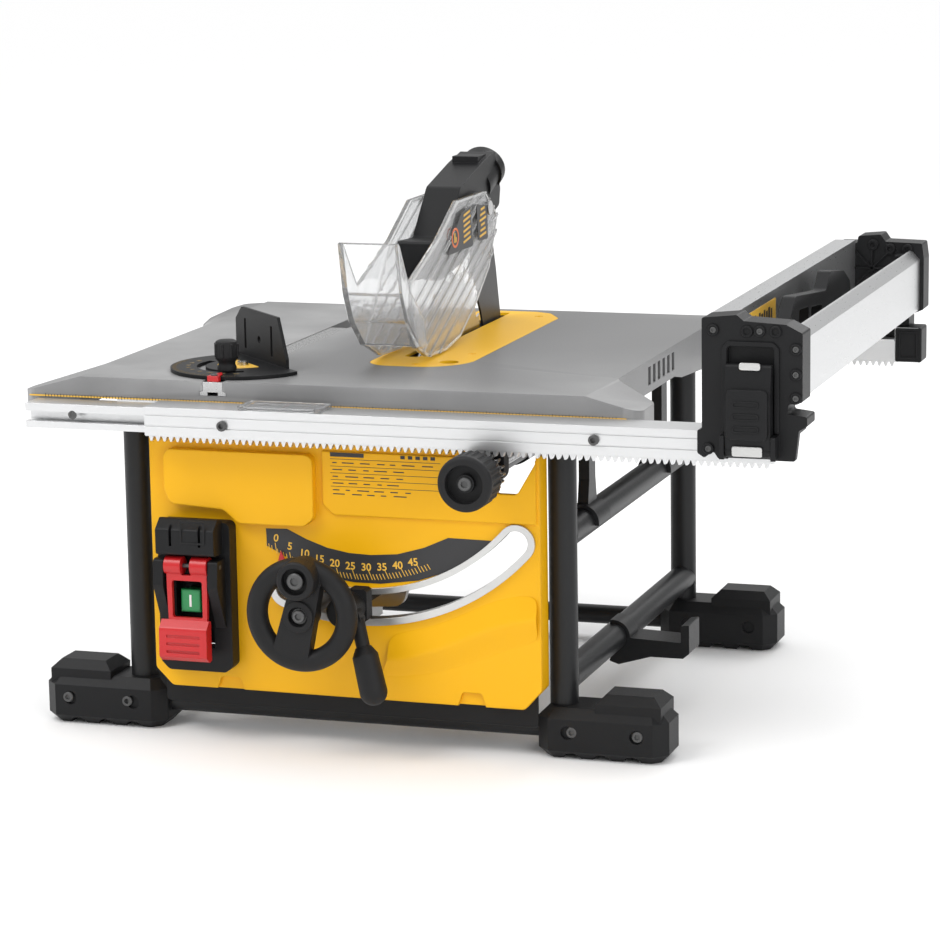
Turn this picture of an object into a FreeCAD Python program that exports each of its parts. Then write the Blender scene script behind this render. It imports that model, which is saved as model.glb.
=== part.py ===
import FreeCAD, Part
import math
import os

# A compact jobsite table saw. Millimetres. Axes: +X to the operator's right, +Y away from the
# operator, +Z up. All pieces are drawn with the floor at Z=0 and moved together at the end so that
# the origin is the centre of the base of the saw's bounding box.
V = FreeCAD.Vector
X, Y, Z = V(1, 0, 0), V(0, 1, 0), V(0, 0, 1)

# ---- driving dimensions -------------------------------------------------------------------------
TOP = 330.0                  # height of the table's working surface
SKIN = 8.0                   # thickness of the table casting
TABLE_HALF = 242.5           # half of the table's width
TABLE_DEEP = 482.0           # table, front to back

TUBE_R, TUBE_WALL = 12.7, 1.8
CROSS_R = 9.5                # lower cross tubes
LEFT_X, RIGHT_X = -199.0, 206.0
FRONT_Y, REAR_Y = 40.0, 463.0
SIDE_LOW, SIDE_HIGH, CROSS_Z = 67.0, 197.0, 23.0
TUBE_TOP = 308.0

FOOT_LONG, FOOT_DEEP = 120.0, 57.0
FOOT_TOP, FOOT_BLOCK_TOP = 46.0, 59.0

PIVOT_X = 28.0               # the bevel axis lies along Y in the table's surface
BLADE_X = 24.0
BLADE_Y, BLADE_R = 278.0, 105.0
CUT_DEPTH = 65.0             # blade above the table at rest, and the travel of the lift
ARBOR_Z = TOP + CUT_DEPTH - BLADE_R
BEVEL_MAX = 45.0

SLOT_R, SLOT_HALF = 198.0, 11.0           # bevel slot in the front panel
SLOT_FROM, SLOT_TO = -20.2, 47.7          # its ends, degrees from straight down, + to the right
RIM_IN, RIM_OUT = 181.5, 215.5
GROOVE_IN, GROOVE_OUT = 62.0, 72.0        # arc grooves that carry the tilting frame
WHEEL_X, WHEEL_Z = -5.7, 135.3            # handwheel shaft
LEVER_X, LEVER_Z = 25.0, 135.0            # bevel lock shaft
CRANK_FRONT, CRANK_REACH = -80.0, 35.0    # crank grip: front face, distance from the wheel's centre
SCREW_Y = 92.0                            # lead screw, above the handwheel shaft's end
SCREW_LEAD = 16.0
ROD_X, ROD_R = -42.0, 7.0
FRONT_ROD_Y, REAR_ROD_Y = 84.0, 424.0

RAIL_HALF = 277.5                         # fixed rails
RAIL_TOP, RAIL_ROOT = 311.7, 285.3        # moving rails: top, and root of the rack
MODULE, RACK_PITCH_Z = 2.0, 283.0
PINION_TEETH = 18
PINION_R = MODULE * PINION_TEETH / 2
KNOB_X = 156.0
KNOB_Z = RACK_PITCH_Z - PINION_R
RACK_FROM, RACK_TO = -157.5, 414.0
FENCE_MIN, FENCE_MAX = -115.0, 290.0

FENCE_LEFT, FENCE_RIGHT = 352.0, 436.0    # outer faces of the fence plates
FENCE_FRONT, FENCE_REAR = -16.0, 498.0
FENCE_TOP, FENCE_FOOT = 407.0, 331.5
LATCH_Z = 299.0                           # latch hinge height
FRONT_LATCH_Y, REAR_LATCH_Y = -52.0, 530.0

GEAR_MODULE, GEAR_TEETH, ROTOR_TEETH = 1.25, 40, 12
MOTOR_Z = ARBOR_Z - GEAR_MODULE * (GEAR_TEETH + ROTOR_TEETH) / 2
GUARD_Y, GUARD_Z = 340.0, 450.0           # guard pivot
SHIELD_LEFT, SHIELD_RIGHT = -6.0, 40.0    # outer face of the left shield, inner of the right
SHIELD_THICK = 4.0

SLOT_X, SLOT_UP, SLOT_LOW = -107.0, 9.8, 12.8     # miter slot: centre, half widths
MITER_Y = 74.0                                    # protractor pivot
MITER_ANGLE = -45.0                               # the head is stored turned this far
RUN = 0.05                                        # radial clearance of running fits
GAP = 0.3                                         # between parts that slide past each other

SWITCH_HINGE_Y, SWITCH_HINGE_Z = -24.0, 166.0

# extreme faces of the saw without its mains lead
X_MIN, X_MAX = -295.0, 444.0
Y_MIN, Y_MAX = -86.0, 539.0
ORIGIN = V(-(X_MIN + X_MAX) / 2, -(Y_MIN + Y_MAX) / 2, 0)


# ---- shape helpers ------------------------------------------------------------------------------
def box(x0, x1, y0, y1, z0, z1):
    return Part.makeBox(x1 - x0, y1 - y0, z1 - z0, V(x0, y0, z0))


def rod(start, direction, radius, length):
    return Part.makeCylinder(radius, length, start, direction)


def ring(start, direction, outer, inner, length):
    return rod(start, direction, outer, length).cut(rod(start, direction, inner, length))


def join(*shapes):
    shapes = list(shapes)
    whole = shapes[0].fuse(shapes[1:]) if len(shapes) > 1 else shapes[0]
    return whole.removeSplitter()


def place(plane, u, v, w=0.0):
    """A point from plane coordinates: plane 'x' takes (y, z), 'y' takes (x, z), 'z' takes (x, y)."""
    if plane == "x":
        return V(w, u, v)
    if plane == "y":
        return V(u, w, v)
    return V(u, v, w)


def slab(plane, points, low, high, radius=0.0):
    """A plate: the outline's points in order, corners rounded to radius, from low to high."""
    corners = [place(plane, u, v, low) for u, v, *_ in points]
    radii = [p[2] if len(p) > 2 else radius for p in points]
    n = len(corners)
    ends = []
    for i, here in enumerate(corners):
        back, ahead = corners[i - 1] - here, corners[(i + 1) % n] - here
        turn = back.getAngle(ahead)
        reach = radii[i] / math.tan(turn / 2) if radii[i] > 0 and turn < math.pi - 1e-6 else 0.0
        reach = min(reach, 0.49 * back.Length, 0.49 * ahead.Length)
        a, b = here + back.normalize() * reach, here + ahead.normalize() * reach
        ends.append((a, b, here, reach, turn))
    edges = []
    for i, (a, b, here, reach, turn) in enumerate(ends):
        if reach > 1e-6:
            r = reach * math.tan(turn / 2)
            middle = (a + b) * 0.5 - here
            tip = here + middle.normalize() * (r / math.sin(turn / 2) - r)
            edges.append(Part.Arc(a, tip, b).toShape())
        after = ends[(i + 1) % n][0]
        if (after - b).Length > 1e-6:
            edges.append(Part.LineSegment(b, after).toShape())
    face = Part.Face(Part.Wire(edges))
    return face.extrude(place(plane, 0, 0, high - low))


def sector(centre_x, centre_z, inner, outer, start, end, y0, y1, round_ends=False):
    """Part of a ring about an axis along Y; angles in degrees from straight down, + to the right."""

    def at(radius, degrees):
        a = math.radians(degrees)
        return V(centre_x + radius * math.sin(a), y0, centre_z - radius * math.cos(a))

    mid, half = (start + end) / 2, (outer - inner) / 2
    edges = [
        Part.Arc(at(inner, start), at(inner, mid), at(inner, end)).toShape(),
        Part.Arc(at(outer, end), at(outer, mid), at(outer, start)).toShape(),
    ]
    if round_ends:
        bulge = math.degrees(half / ((inner + outer) / 2))
        tip_end, tip_start = at((inner + outer) / 2, end + bulge), at((inner + outer) / 2, start - bulge)
        edges.insert(1, Part.Arc(at(inner, end), tip_end, at(outer, end)).toShape())
        edges.append(Part.Arc(at(outer, start), tip_start, at(inner, start)).toShape())
    else:
        edges.insert(1, Part.LineSegment(at(inner, end), at(outer, end)).toShape())
        edges.append(Part.LineSegment(at(outer, start), at(inner, start)).toShape())
    return Part.Face(Part.Wire(edges)).extrude(V(0, y1 - y0, 0))


def chamfered(shape, size, chosen):
    """Chamfer the edges that the test picks."""
    edges = [e for e in shape.Edges if chosen(e)]
    return shape.makeChamfer(size, edges) if edges else shape


def filleted(shape, size, chosen):
    edges = [e for e in shape.Edges if chosen(e)]
    return shape.makeFillet(size, edges) if edges else shape


def runs_along(direction):
    """True for straight edges along a direction."""

    def test(edge):
        if not isinstance(edge.Curve, (Part.Line, Part.LineSegment)):
            return False
        return abs(edge.Curve.Direction.dot(direction)) > 0.999

    return test


def gear(plane, centre, teeth, module, low, high, turn=0.0, backlash=0.45, flank_steps=4):
    """A spur gear with involute flanks; one tooth points along +u, turned by turn degrees."""
    pitch_r = module * teeth / 2
    base_r = pitch_r * math.cos(math.radians(20))
    tip_r, root_r = pitch_r + 0.9 * module, pitch_r - 1.15 * module
    start_r = max(base_r, root_r)

    def roll(radius):
        a = math.acos(min(1.0, base_r / radius))
        return math.tan(a) - a

    half = (math.pi * module - backlash) / 4 / pitch_r * 1.0 + roll(pitch_r)
    points = []
    for k in range(teeth):
        middle = 2 * math.pi * k / teeth + math.radians(turn)
        radii = [start_r + (tip_r - start_r) * i / flank_steps for i in range(flank_steps + 1)]
        left = [(r, middle - (half - roll(r))) for r in radii]
        right = [(r, middle + (half - roll(r))) for r in reversed(radii)]
        flank = left + right
        if root_r < start_r:
            flank = [(root_r, left[0][1])] + flank + [(root_r, right[-1][1])]
        points += [(centre[0] + r * math.cos(a), centre[1] + r * math.sin(a)) for r, a in flank]
    return slab(plane, points, low, high)


def rack(x0, x1, y0, y1):
    """Teeth hanging below a rail, in step with the pinion at KNOB_X."""
    pitch = math.pi * MODULE
    slope = math.tan(math.radians(20))
    up, down = RAIL_ROOT - RACK_PITCH_Z, 2.0
    half = pitch / 4 - 0.12
    count_left = math.floor((KNOB_X - half - up * slope - x0) / pitch)
    first = KNOB_X - count_left * pitch
    points = [(x0, RAIL_ROOT + 1.5), (x0, RAIL_ROOT)]
    middle = first
    while middle + half + up * slope < x1:
        for reach, side in ((up, -1), (-down, -1), (-down, 1), (up, 1)):
            points.append((middle + side * (half + reach * slope), RACK_PITCH_Z + reach))
        middle += pitch
    points += [(x1, RAIL_ROOT), (x1, RAIL_ROOT + 1.5)]
    return slab("y", points, y0, y1)


# ---- frame --------------------------------------------------------------------------------------
def upright_tubes():
    tubes = [
        ring(V(x, y, 12), Z, TUBE_R, TUBE_R - TUBE_WALL, TUBE_TOP - 12)
        for x in (LEFT_X, RIGHT_X)
        for y in (FRONT_Y, REAR_Y)
    ]
    return Part.makeCompound(tubes)


def upright_space(grow=0.0):
    return [
        rod(V(x, y, 12), Z, TUBE_R + grow, TUBE_TOP - 12)
        for x in (LEFT_X, RIGHT_X)
        for y in (FRONT_Y, REAR_Y)
    ]


def frame_cross_members():
    """Two low cross tubes and four side tubes, coped to the uprights they are welded to."""
    out = []
    for y in (FRONT_Y, REAR_Y):
        tube = ring(V(LEFT_X, y, CROSS_Z), X, CROSS_R, CROSS_R - TUBE_WALL, RIGHT_X - LEFT_X)
        out.append(tube.cut(upright_space(0.05)))
    for x in (LEFT_X, RIGHT_X):
        for z in (SIDE_LOW, SIDE_HIGH):
            tube = ring(V(x, FRONT_Y, z), Y, TUBE_R, TUBE_R - TUBE_WALL, REAR_Y - FRONT_Y)
            out.append(tube.cut(upright_space(0.05)))
    return Part.makeCompound([s for t in out for s in t.Solids if s.Volume > 5000])


def foot(outer_x, inner_x, y0):
    """One moulded foot: a chamfered block, a raised pad on its outer half, a scalloped sole."""
    side = 1 if outer_x > inner_x else -1
    low, high = sorted((outer_x, inner_x))
    y1 = y0 + FOOT_DEEP
    body = box(low, high, y0, y1, 0, FOOT_TOP)
    body = chamfered(body, 12.0, runs_along(Z))
    top = [e for e in body.Edges if e.BoundBox.ZMin > FOOT_TOP - 0.1]
    body = body.makeChamfer(9.0, top)
    sole = [e for e in body.Edges if e.BoundBox.ZMax < 0.1]
    body = body.makeChamfer(8.0, sole)
    pad_in, pad_out = outer_x - side * 66, outer_x - side * 6
    pad_low, pad_high = sorted((pad_in, pad_out))
    pad = box(pad_low, pad_high, y0 + 6, y1 - 6, FOOT_TOP - 12, FOOT_BLOCK_TOP)
    pad = chamfered(pad, 8.0, lambda e: e.BoundBox.ZMin > FOOT_BLOCK_TOP - 0.1)
    body = join(body, pad)
    scallops = []
    for i in range(3):
        x = low + FOOT_LONG * (0.27 + 0.23 * i)
        scallops.append(rod(V(x, y0 - 1, -3.0), Y, 9.0, FOOT_DEEP + 2))
    screw_holes = []
    for x in (inner_x + side * 30, outer_x - side * 27):
        screw_holes.append(rod(V(x, y0 - 1, CROSS_Z + 2), Y, 6.2, 4))
    bores = upright_space() + [
        rod(V(LEFT_X, y, CROSS_Z), X, CROSS_R, RIGHT_X - LEFT_X) for y in (FRONT_Y, REAR_Y)
    ]
    return body.cut(scallops + screw_holes + bores)


def foot_ends():
    return ((X_MIN + 4, X_MIN + 4 + FOOT_LONG), (RIGHT_X + 100, RIGHT_X + 100 - FOOT_LONG))


def feet():
    out = [foot(a, b, y) for a, b in foot_ends() for y in (FRONT_Y - 27, REAR_Y - 27)]
    return Part.makeCompound([max(s.Solids, key=lambda t: t.Volume) for s in out])


def saddle_brackets():
    """Forked brackets that stand on the upper side tubes and bolt up under the table."""
    out = []
    for x in (LEFT_X, RIGHT_X):
        for y in (118.0, 372.0):
            clasp = ring(V(x, y - 20, SIDE_HIGH), Y, TUBE_R + 4, TUBE_R, 40)
            clasp = clasp.cut(box(x - 30, x + 30, y - 21, y + 21, SIDE_HIGH - 30, SIDE_HIGH - 2))
            post = slab(
                "x", [(y - 16, 205), (y + 16, 205), (y + 10, 235), (y + 10, 322), (y - 10, 322), (y - 10, 235)],
                x - 5, x + 5,
            )
            post = post.cut(rod(V(x, y - 30, SIDE_HIGH), Y, TUBE_R, 60))
            out.append(join(clasp, post))
    return Part.makeCompound(out)


def storage_bracket():
    """A hooked arm on the lower right tube, for hanging the fence when the saw is packed."""
    y = 215.0
    clasp = ring(V(RIGHT_X, y - 14, SIDE_LOW), Y, TUBE_R + 3.5, TUBE_R, 28)
    clasp = clasp.cut(box(RIGHT_X - 30, RIGHT_X - 3, y - 15, y + 15, SIDE_LOW - 30, SIDE_LOW + 30))
    arm = slab(
        "y",
        [(RIGHT_X + 2, 60), (RIGHT_X - 4, 44), (RIGHT_X + 5, 41), (RIGHT_X + 36, 50), (RIGHT_X + 67, 50),
         (RIGHT_X + 73, 55), (RIGHT_X + 73, 82), (RIGHT_X + 65, 81), (RIGHT_X + 65, 65), (RIGHT_X + 13, 67)],
        y - 14, y + 24, 1.0,
    )
    arm = arm.cut(rod(V(RIGHT_X, y - 20, SIDE_LOW), Y, TUBE_R, 40))
    return join(clasp, arm)


# ---- table --------------------------------------------------------------------------------------
def table_outline(inset=0.0):
    i = inset
    return [
        (-236, i), (-284, i, 7), (-295 + i, 12, 9), (-295 + i, 27, 9), (-242.5 + i, 74, 9),
        (-242.5 + i, 307, 15), (-272 + i, 440, 20), (-272 + i, 482 - i, 16), (254, 482 - i, 8),
        (264 - i, 470, 8), (242.5 - i, 428, 10), (242.5 - i, 92, 12), (288 - i, 50, 14), (288 - i, i, 16),
        (239, i),
    ]


def above_plane(a, b, c, inner):
    """A big block above the sloping plane through three points; inner is a point it must keep."""
    normal = (b - a).cross(c - a)
    normal.normalize()
    if normal.z < 0:
        normal = normal * -1
    along = (b - a).normalize()
    across = normal.cross(along)
    centre = (a + b) * 0.5
    corners = [centre + along * u + across * v for u, v in ((-90, -90), (90, -90), (90, 90), (-90, 90))]
    face = Part.Face(Part.makePolygon(corners + corners[:1]))
    block = face.extrude(normal * 40)
    return block if not block.isInside(inner, 0.01, True) else block


def throat_outline(grow=0.0):
    """The throat plate's outline: a round front, straight sides and a clipped rear corner."""
    g = grow
    return [
        (-7 - g, 170), (-7 - g, 118 - g, 46 + g), (87 + g, 118 - g, 46 + g), (87 + g, 432, 14),
        (70 + g, 462, 10), (52, 470 + g, 6), (-7 - g, 470 + g, 8),
    ]


def table_top():
    plate = slab("z", table_outline(), 312, TOP)
    wing_left = slab("z", [(-236, 0.0), (-284, 0.0, 7), (-295, 12, 9), (-295, 27, 9), (-242.5, 74)], 300, 313)
    wing_right = slab("z", [(239, 0.0), (242.5, 92), (288, 50, 14), (288, 0.0, 16)], 300, 313)
    skirts = []
    for x0, x1 in ((-TABLE_HALF, -TABLE_HALF + 6), (TABLE_HALF - 6, TABLE_HALF)):
        skirts.append(
            slab("x", [(80, 330), (80, 312), (92, 300), (292, 300), (318, 295), (430, 288), (480, 288), (480, 330)],
                 x0, x1)
        )
    skirts.append(box(-240, 240, 476, 480, 294, 330))
    shell = join(plate, wing_left, wing_right, *skirts)
    slopes = [
        (V(-236, 0, 330), V(-242.5, 74, 330), V(-295, 15, 314.5)),
        (V(239, 0, 330), V(242.5, 92, 330), V(288, 25, 317.5)),
        (V(-242.5, 307, 330), V(-242.5, 482, 330), V(-272, 450, 318)),
        (V(242.5, 428, 330), V(242.5, 482, 330), V(264, 470, 322)),
    ]
    for a, b, c in slopes:
        shell = shell.cut(above_plane(a, b, c, V(0, 240, 329)))
    pocket = slab(
        "z",
        [(-236.5, 6), (-236.5, 476), (236.5, 476), (236.5, 6)],
        286, TOP - SKIN, 3.0,
    )
    shell = shell.cut(pocket)
    slot_rib = box(SLOT_X - 18, SLOT_X + 18, 0, TABLE_DEEP, 313, TOP - SKIN + 1)
    ribs = [
        box(x - 2, x + 2, 6, 475, 312, TOP - SKIN + 1) for x in (-170, 140)
    ] + [box(-236, 236, 96, 100, 312, TOP - SKIN + 1)]
    bosses = [rod(V(x, y, TUBE_TOP), Z, 16, TOP - SKIN - TUBE_TOP + 1) for x in (LEFT_X, RIGHT_X)
              for y in (FRONT_Y, REAR_Y)]
    shell = join(shell, slot_rib, *ribs, *bosses)
    cuts = [
        slab("z", throat_outline(GAP), TOP - 3, TOP + 1),
        slab("z", throat_outline(-5.0), 300, TOP + 1),
        box(SLOT_X - SLOT_UP, SLOT_X + SLOT_UP, -1, TABLE_DEEP + 1, 320, TOP + 1),
        box(SLOT_X - SLOT_LOW, SLOT_X + SLOT_LOW, -1, TABLE_DEEP + 1, 316.8, 320.9),
    ]
    for i in range(6):
        y = 196 + 17 * i
        cuts.append(box(TABLE_HALF - 3, TABLE_HALF + 1, y, y + 9, 307, 324))
    return shell.cut(cuts)


def throat_plate():
    plate = slab("z", throat_outline(), TOP - 3, TOP)
    slot = slab("z", [(14, 172, 6), (29, 172, 6), (29, 458, 2), (14, 458, 2)], 320, 335)
    finger = rod(V(66, 150, 320), Z, 9, 20)
    screws = [rod(V(x, y, TOP - 1.2), Z, 4, 3) for x, y in ((40, 132), (72, 200), (64, 440))]
    return plate.cut([slot, finger] + screws)


# ---- rails --------------------------------------------------------------------------------------
def fixed_rail(y_table, y_out):
    """An extruded channel bolted to the table's edge, open towards the moving rail."""
    y0, y1 = sorted((y_table, y_out))
    rail = box(-RAIL_HALF, RAIL_HALF, y0, y1, 287, 309.3)
    side = 1 if y_out > y_table else -1
    groove = [y_out - side * 6, y_out + side]
    g0, g1 = sorted(groove)
    channel = [
        box(-RAIL_HALF - 1, RAIL_HALF + 1, g0, g1, 293, 302),
        box(-RAIL_HALF - 1, RAIL_HALF + 1, min(y_out - side * 11, y_out - side * 6),
            max(y_out - side * 11, y_out - side * 6), 290.5, 304.5),
    ]
    rail = rail.cut(channel)
    return rail


def front_fixed_rail():
    return join(fixed_rail(-1.0, -29.0), box(-200, 200, -1.0, 6.0, 300, 312))


def rear_fixed_rail():
    return join(fixed_rail(TABLE_DEEP + 1.0, TABLE_DEEP + 25.0), box(-200, 200, 480, 483, 300, 312))


def moving_rail(y_face, y_lip, x1):
    """The sliding rail: a face plate with a lip over the fixed rail and a rack below."""
    side = 1 if y_face > y_lip else -1
    inner = y_face - side * 8.5
    f0, f1 = sorted((y_face, inner))
    face = box(RACK_FROM, x1, f0, f1, RAIL_ROOT + 1, RAIL_TOP)
    l0, l1 = sorted((y_face, y_lip))
    lip = box(RACK_FROM, x1, l0, l1, RAIL_TOP - 2, RAIL_TOP)
    k0, k1 = sorted((y_face - side * 1.2, y_face + side))
    grooves = [box(RACK_FROM - 1, x1 + 1, k0, k1, z, z + 1.2) for z in (294.2, 304.0)]
    r0, r1 = sorted((y_face - side * 1.5, y_face - side * 7.5))
    teeth = rack(RACK_FROM, x1, r0, r1)
    return join(face, lip, teeth).cut(grooves)


def front_moving_rail():
    return moving_rail(-38.0, -1.5, RACK_TO)


def rear_moving_rail():
    """The rear rail has a moulded cap pressed on its right-hand end."""
    return Part.makeCompound([moving_rail(516.0, TABLE_DEEP + 1.5, RACK_TO), rail_end_cap()])


def rail_end_cap():
    cap = box(RACK_TO, RACK_TO + 26, 488, 516, 289, 323)
    cap = chamfered(cap, 3.0, lambda e: e.BoundBox.XMin > RACK_TO + 25)
    return cap.cut(box(RACK_TO + 8, RACK_TO + 28, 493, 511, 305, 319))


def pinion_shaft():
    """Cross shaft under the table: a rack pinion at each end."""
    shaft = rod(V(KNOB_X, -62, KNOB_Z), Y, 5, 578)
    turn = 90 + 180 / PINION_TEETH
    front = gear("y", (KNOB_X, KNOB_Z), PINION_TEETH, MODULE, -37.0, -29.5, turn)
    rear = gear("y", (KNOB_X, KNOB_Z), PINION_TEETH, MODULE, 507.5, 515.0, turn)
    collar = rod(V(KNOB_X, -26.5, KNOB_Z), Y, 9, 3)
    return join(shaft, front, rear, collar)


def pinion_shaft_brackets():
    """Bearing blocks that hang from the fixed rails and carry the cross shaft."""
    out = []
    for y0 in (-22.0, 488.0):
        block = slab(
            "y",
            [(KNOB_X - 16, 287), (KNOB_X - 16, KNOB_Z - 6, 10), (KNOB_X - 4, KNOB_Z - 13, 8),
             (KNOB_X + 4, KNOB_Z - 13, 8), (KNOB_X + 16, KNOB_Z - 6, 10), (KNOB_X + 16, 287)],
            y0, y0 + 14,
        )
        out.append(block.cut(rod(V(KNOB_X, y0 - 1, KNOB_Z), Y, 5 + RUN, 16)))
    return Part.makeCompound(out)


def rip_knob():
    wheel = rod(V(KNOB_X, -86, KNOB_Z), Y, 24.5, 30)
    wheel = filleted(wheel, 4.0, lambda e: e.BoundBox.YMax < -85.9 and e.BoundBox.XLength > 40)
    dish = rod(V(KNOB_X, -87, KNOB_Z), Y, 17, 10)
    hub = rod(V(KNOB_X, -82, KNOB_Z), Y, 8, 12)
    neck = rod(V(KNOB_X, -57, KNOB_Z), Y, 13, 16)
    knob = join(wheel.cut(dish), hub, neck)
    bore = rod(V(KNOB_X, -62, KNOB_Z), Y, 5, 30)
    flutes = [
        rod(V(KNOB_X + 25.6 * math.cos(a), -80, KNOB_Z + 25.6 * math.sin(a)), Y, 2.2, 26)
        for a in (math.radians(15 * k) for k in range(24))
    ]
    return knob.cut([bore] + flutes)


# ---- front panel --------------------------------------------------------------------------------
def front_panel():
    outline = [
        (-172, 300, 3), (-172, 63, 6), (-156, 47, 6), (-112, 47), (-108, 58, 3), (-90, 58, 3), (-86, 47),
        (118, 46), (122, 58, 3), (140, 58, 3), (144, 46), (180, 46, 6), (196, 64, 6), (196, 300, 3),
    ]
    face = slab("y", outline, 4, 7)
    flange = slab("y", outline, 6, 26).cut(
        slab("y", [(-169.2, 277.2, 2), (-169.2, 65, 4), (-154, 50, 4), (178, 50, 4), (193.2, 66, 4),
                   (193.2, 277.2, 2)], 5, 27)
    )
    flange = flange.cut(box(-200, 210, 5, 27, 274, 310))
    bump_outline = [
        (-155, 268, 8), (-155, 232, 5), (-150, 218, 8), (-98, 215, 8), (-84, 203, 8), (-21, 203, 8),
        (-12, 211, 8), (-12, 268, 8),
    ]
    bump = slab("y", bump_outline, -5, 6)
    bump_hollow = slab("y", [(-152, 265, 6), (-152, 221, 6), (-96, 218, 6), (-82, 206, 6), (-24, 206, 6),
                             (-15, 213, 6), (-15, 265, 6)], -2.4, 8)
    band = slab("y", [(-5, 271), (-5, 223, 4), (5, 214, 4), (193, 214), (193, 271)], 1.5, 5)
    panel = join(face, flange, bump, band).cut(bump_hollow)
    cuts = [
        sector(PIVOT_X, TOP, SLOT_R - SLOT_HALF - 3, SLOT_R + SLOT_HALF + 3, SLOT_FROM, SLOT_TO, 0, 8, True),
        sector(PIVOT_X, TOP, RIM_IN - 0.2, RIM_OUT + 0.2, SLOT_FROM, SLOT_TO, 0, 4, True),
        box(-148, -102, 0, 8, 84, 165),
        rod(V(KNOB_X, 0, KNOB_Z), Y, 15, 8),
        slab("y", [(KNOB_X, 285), (KNOB_X - 2, 240, 6), (KNOB_X + 20, 240, 6), (192.5, 268), (192.5, 285)], 0, 8),
    ]
    return panel.cut(cuts)


def bevel_slot_rim():
    """A bare-metal rim that lines the bevel slot, standing a little proud of the panel."""
    rim = sector(PIVOT_X, TOP, RIM_IN, RIM_OUT, SLOT_FROM, SLOT_TO, 0.5, 4.0, True)
    lining = sector(PIVOT_X, TOP, SLOT_R - SLOT_HALF - 2.8, SLOT_R + SLOT_HALF + 2.8, SLOT_FROM, SLOT_TO,
                    3, 12, True)
    hole = sector(PIVOT_X, TOP, SLOT_R - SLOT_HALF, SLOT_R + SLOT_HALF, SLOT_FROM, SLOT_TO, -1, 14, True)
    return join(rim, lining).cut(hole)


# ---- switch -------------------------------------------------------------------------------------
def switch_housing():
    base = slab("y", [(-160, 204, 6), (-160, 74, 6), (-152, 66, 6), (-97, 66, 6), (-90, 72, 6), (-90, 204, 6)],
                -12, 4.0)
    arms = []
    for x0, x1 in ((-157, -147.5), (-104.5, -95)):
        arms.append(
            slab("x", [(-12, 172), (-30, 172, 3), (-32, 148, 3), (-14, 108), (-11, 108)], x0, x1)
        )
    contacts = box(-144, -106, 3.0, 42, 89, 159).cut(box(-134.4, -118.6, 2, 14, 123.6, 141.4))
    housing = join(base, *arms, switch_hood()).cut(box(-143, -107, -13, 4.0, 88, 158))
    housing = join(housing, contacts)
    cuts = [
        rod(V(-158, SWITCH_HINGE_Y, SWITCH_HINGE_Z), X, 2.0, 64),
    ]
    return housing.cut(cuts)


def switch_hood():
    hood = slab("x", [(-12, 207), (-22, 209, 3), (-33, 200, 3), (-33, 177, 3), (-12, 176)], -153, -97)
    hood = filleted(hood, 2.5, runs_along(X))
    notches = [box(x, x + 2.5, -40, -28, 185, 215) for x in (-140, -112)]
    return hood.cut(notches)


def paddle_pin():
    return rod(V(-157.5, SWITCH_HINGE_Y, SWITCH_HINGE_Z), X, 2.0, 63)


def stop_paddle():
    y, z = SWITCH_HINGE_Y, SWITCH_HINGE_Z
    barrels = [rod(V(x, y, z), X, 8.5, 16) for x in (-146.5, -121.5)]
    frame = slab("y", [(-145, 166), (-145, 150, 2), (-144, 114, 2), (-107, 114, 2), (-106, 150, 2), (-106, 166)],
                 -29, -24.5)
    frame = frame.cut(slab("y", [(-140, 153, 2), (-140, 119, 2), (-111, 119, 2), (-111, 153, 2)], -35, -20))
    pad = slab("x", [(-24.5, 116), (-29, 117), (-36, 110, 4), (-37, 84, 4), (-30, 79, 3), (-24.5, 80)],
               -151, -105)
    grooves = [
        slab("y", [(-144, h, 1), (-144, h + 2.6, 1), (-112, h + 2.6, 1), (-112, h, 1)], -40, -35.2)
        for h in (87.5, 94.5, 101.5)
    ]
    bore = rod(V(-160, y, z), X, 2.0 + RUN, 70)
    neck = box(-130.4, -121.6, -32, -17, 158, 176)
    return join(frame.cut(neck), *barrels, pad).cut(grooves + [bore])


def start_button():
    cap = box(-136, -117, -19, -12, 122, 143)
    cap = filleted(cap, 1.5, lambda e: e.BoundBox.YMax < -18.9)
    stem = box(-134, -119, -12.5, 8, 124, 141)
    return join(cap, stem)


# ---- tilting frame ------------------------------------------------------------------------------
def trunnion_brackets():
    """Plates hung under the table at both ends, each with an arc groove about the bevel axis."""
    out = []
    for y0, y1, open_from, open_to in ((42, 54, 46, 55), (452, 464, 451, 460)):
        top = TOP - SKIN
        plate = slab(
            "y",
            [(PIVOT_X - 84, top), (PIVOT_X - 82, 280, 20), (PIVOT_X - 40, 250, 30), (PIVOT_X + 46, 250, 30),
             (PIVOT_X + 86, 284, 20), (PIVOT_X + 90, top)],
            y0, y1,
        )
        groove = sector(PIVOT_X, TOP, GROOVE_IN, GROOVE_OUT, -25, 70, open_from, open_to)
        window = rod(V(PIVOT_X, y0 - 1, TOP), Y, 44, 14)
        out.append(plate.cut([groove, window]))
    return Part.makeCompound([s for plate in out for s in plate.Solids])


def tilt_plate_outline():
    return [(PIVOT_X - 86, 306, 4), (PIVOT_X - 12, 306, 6), (PIVOT_X + 42, 256, 8)]


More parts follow.
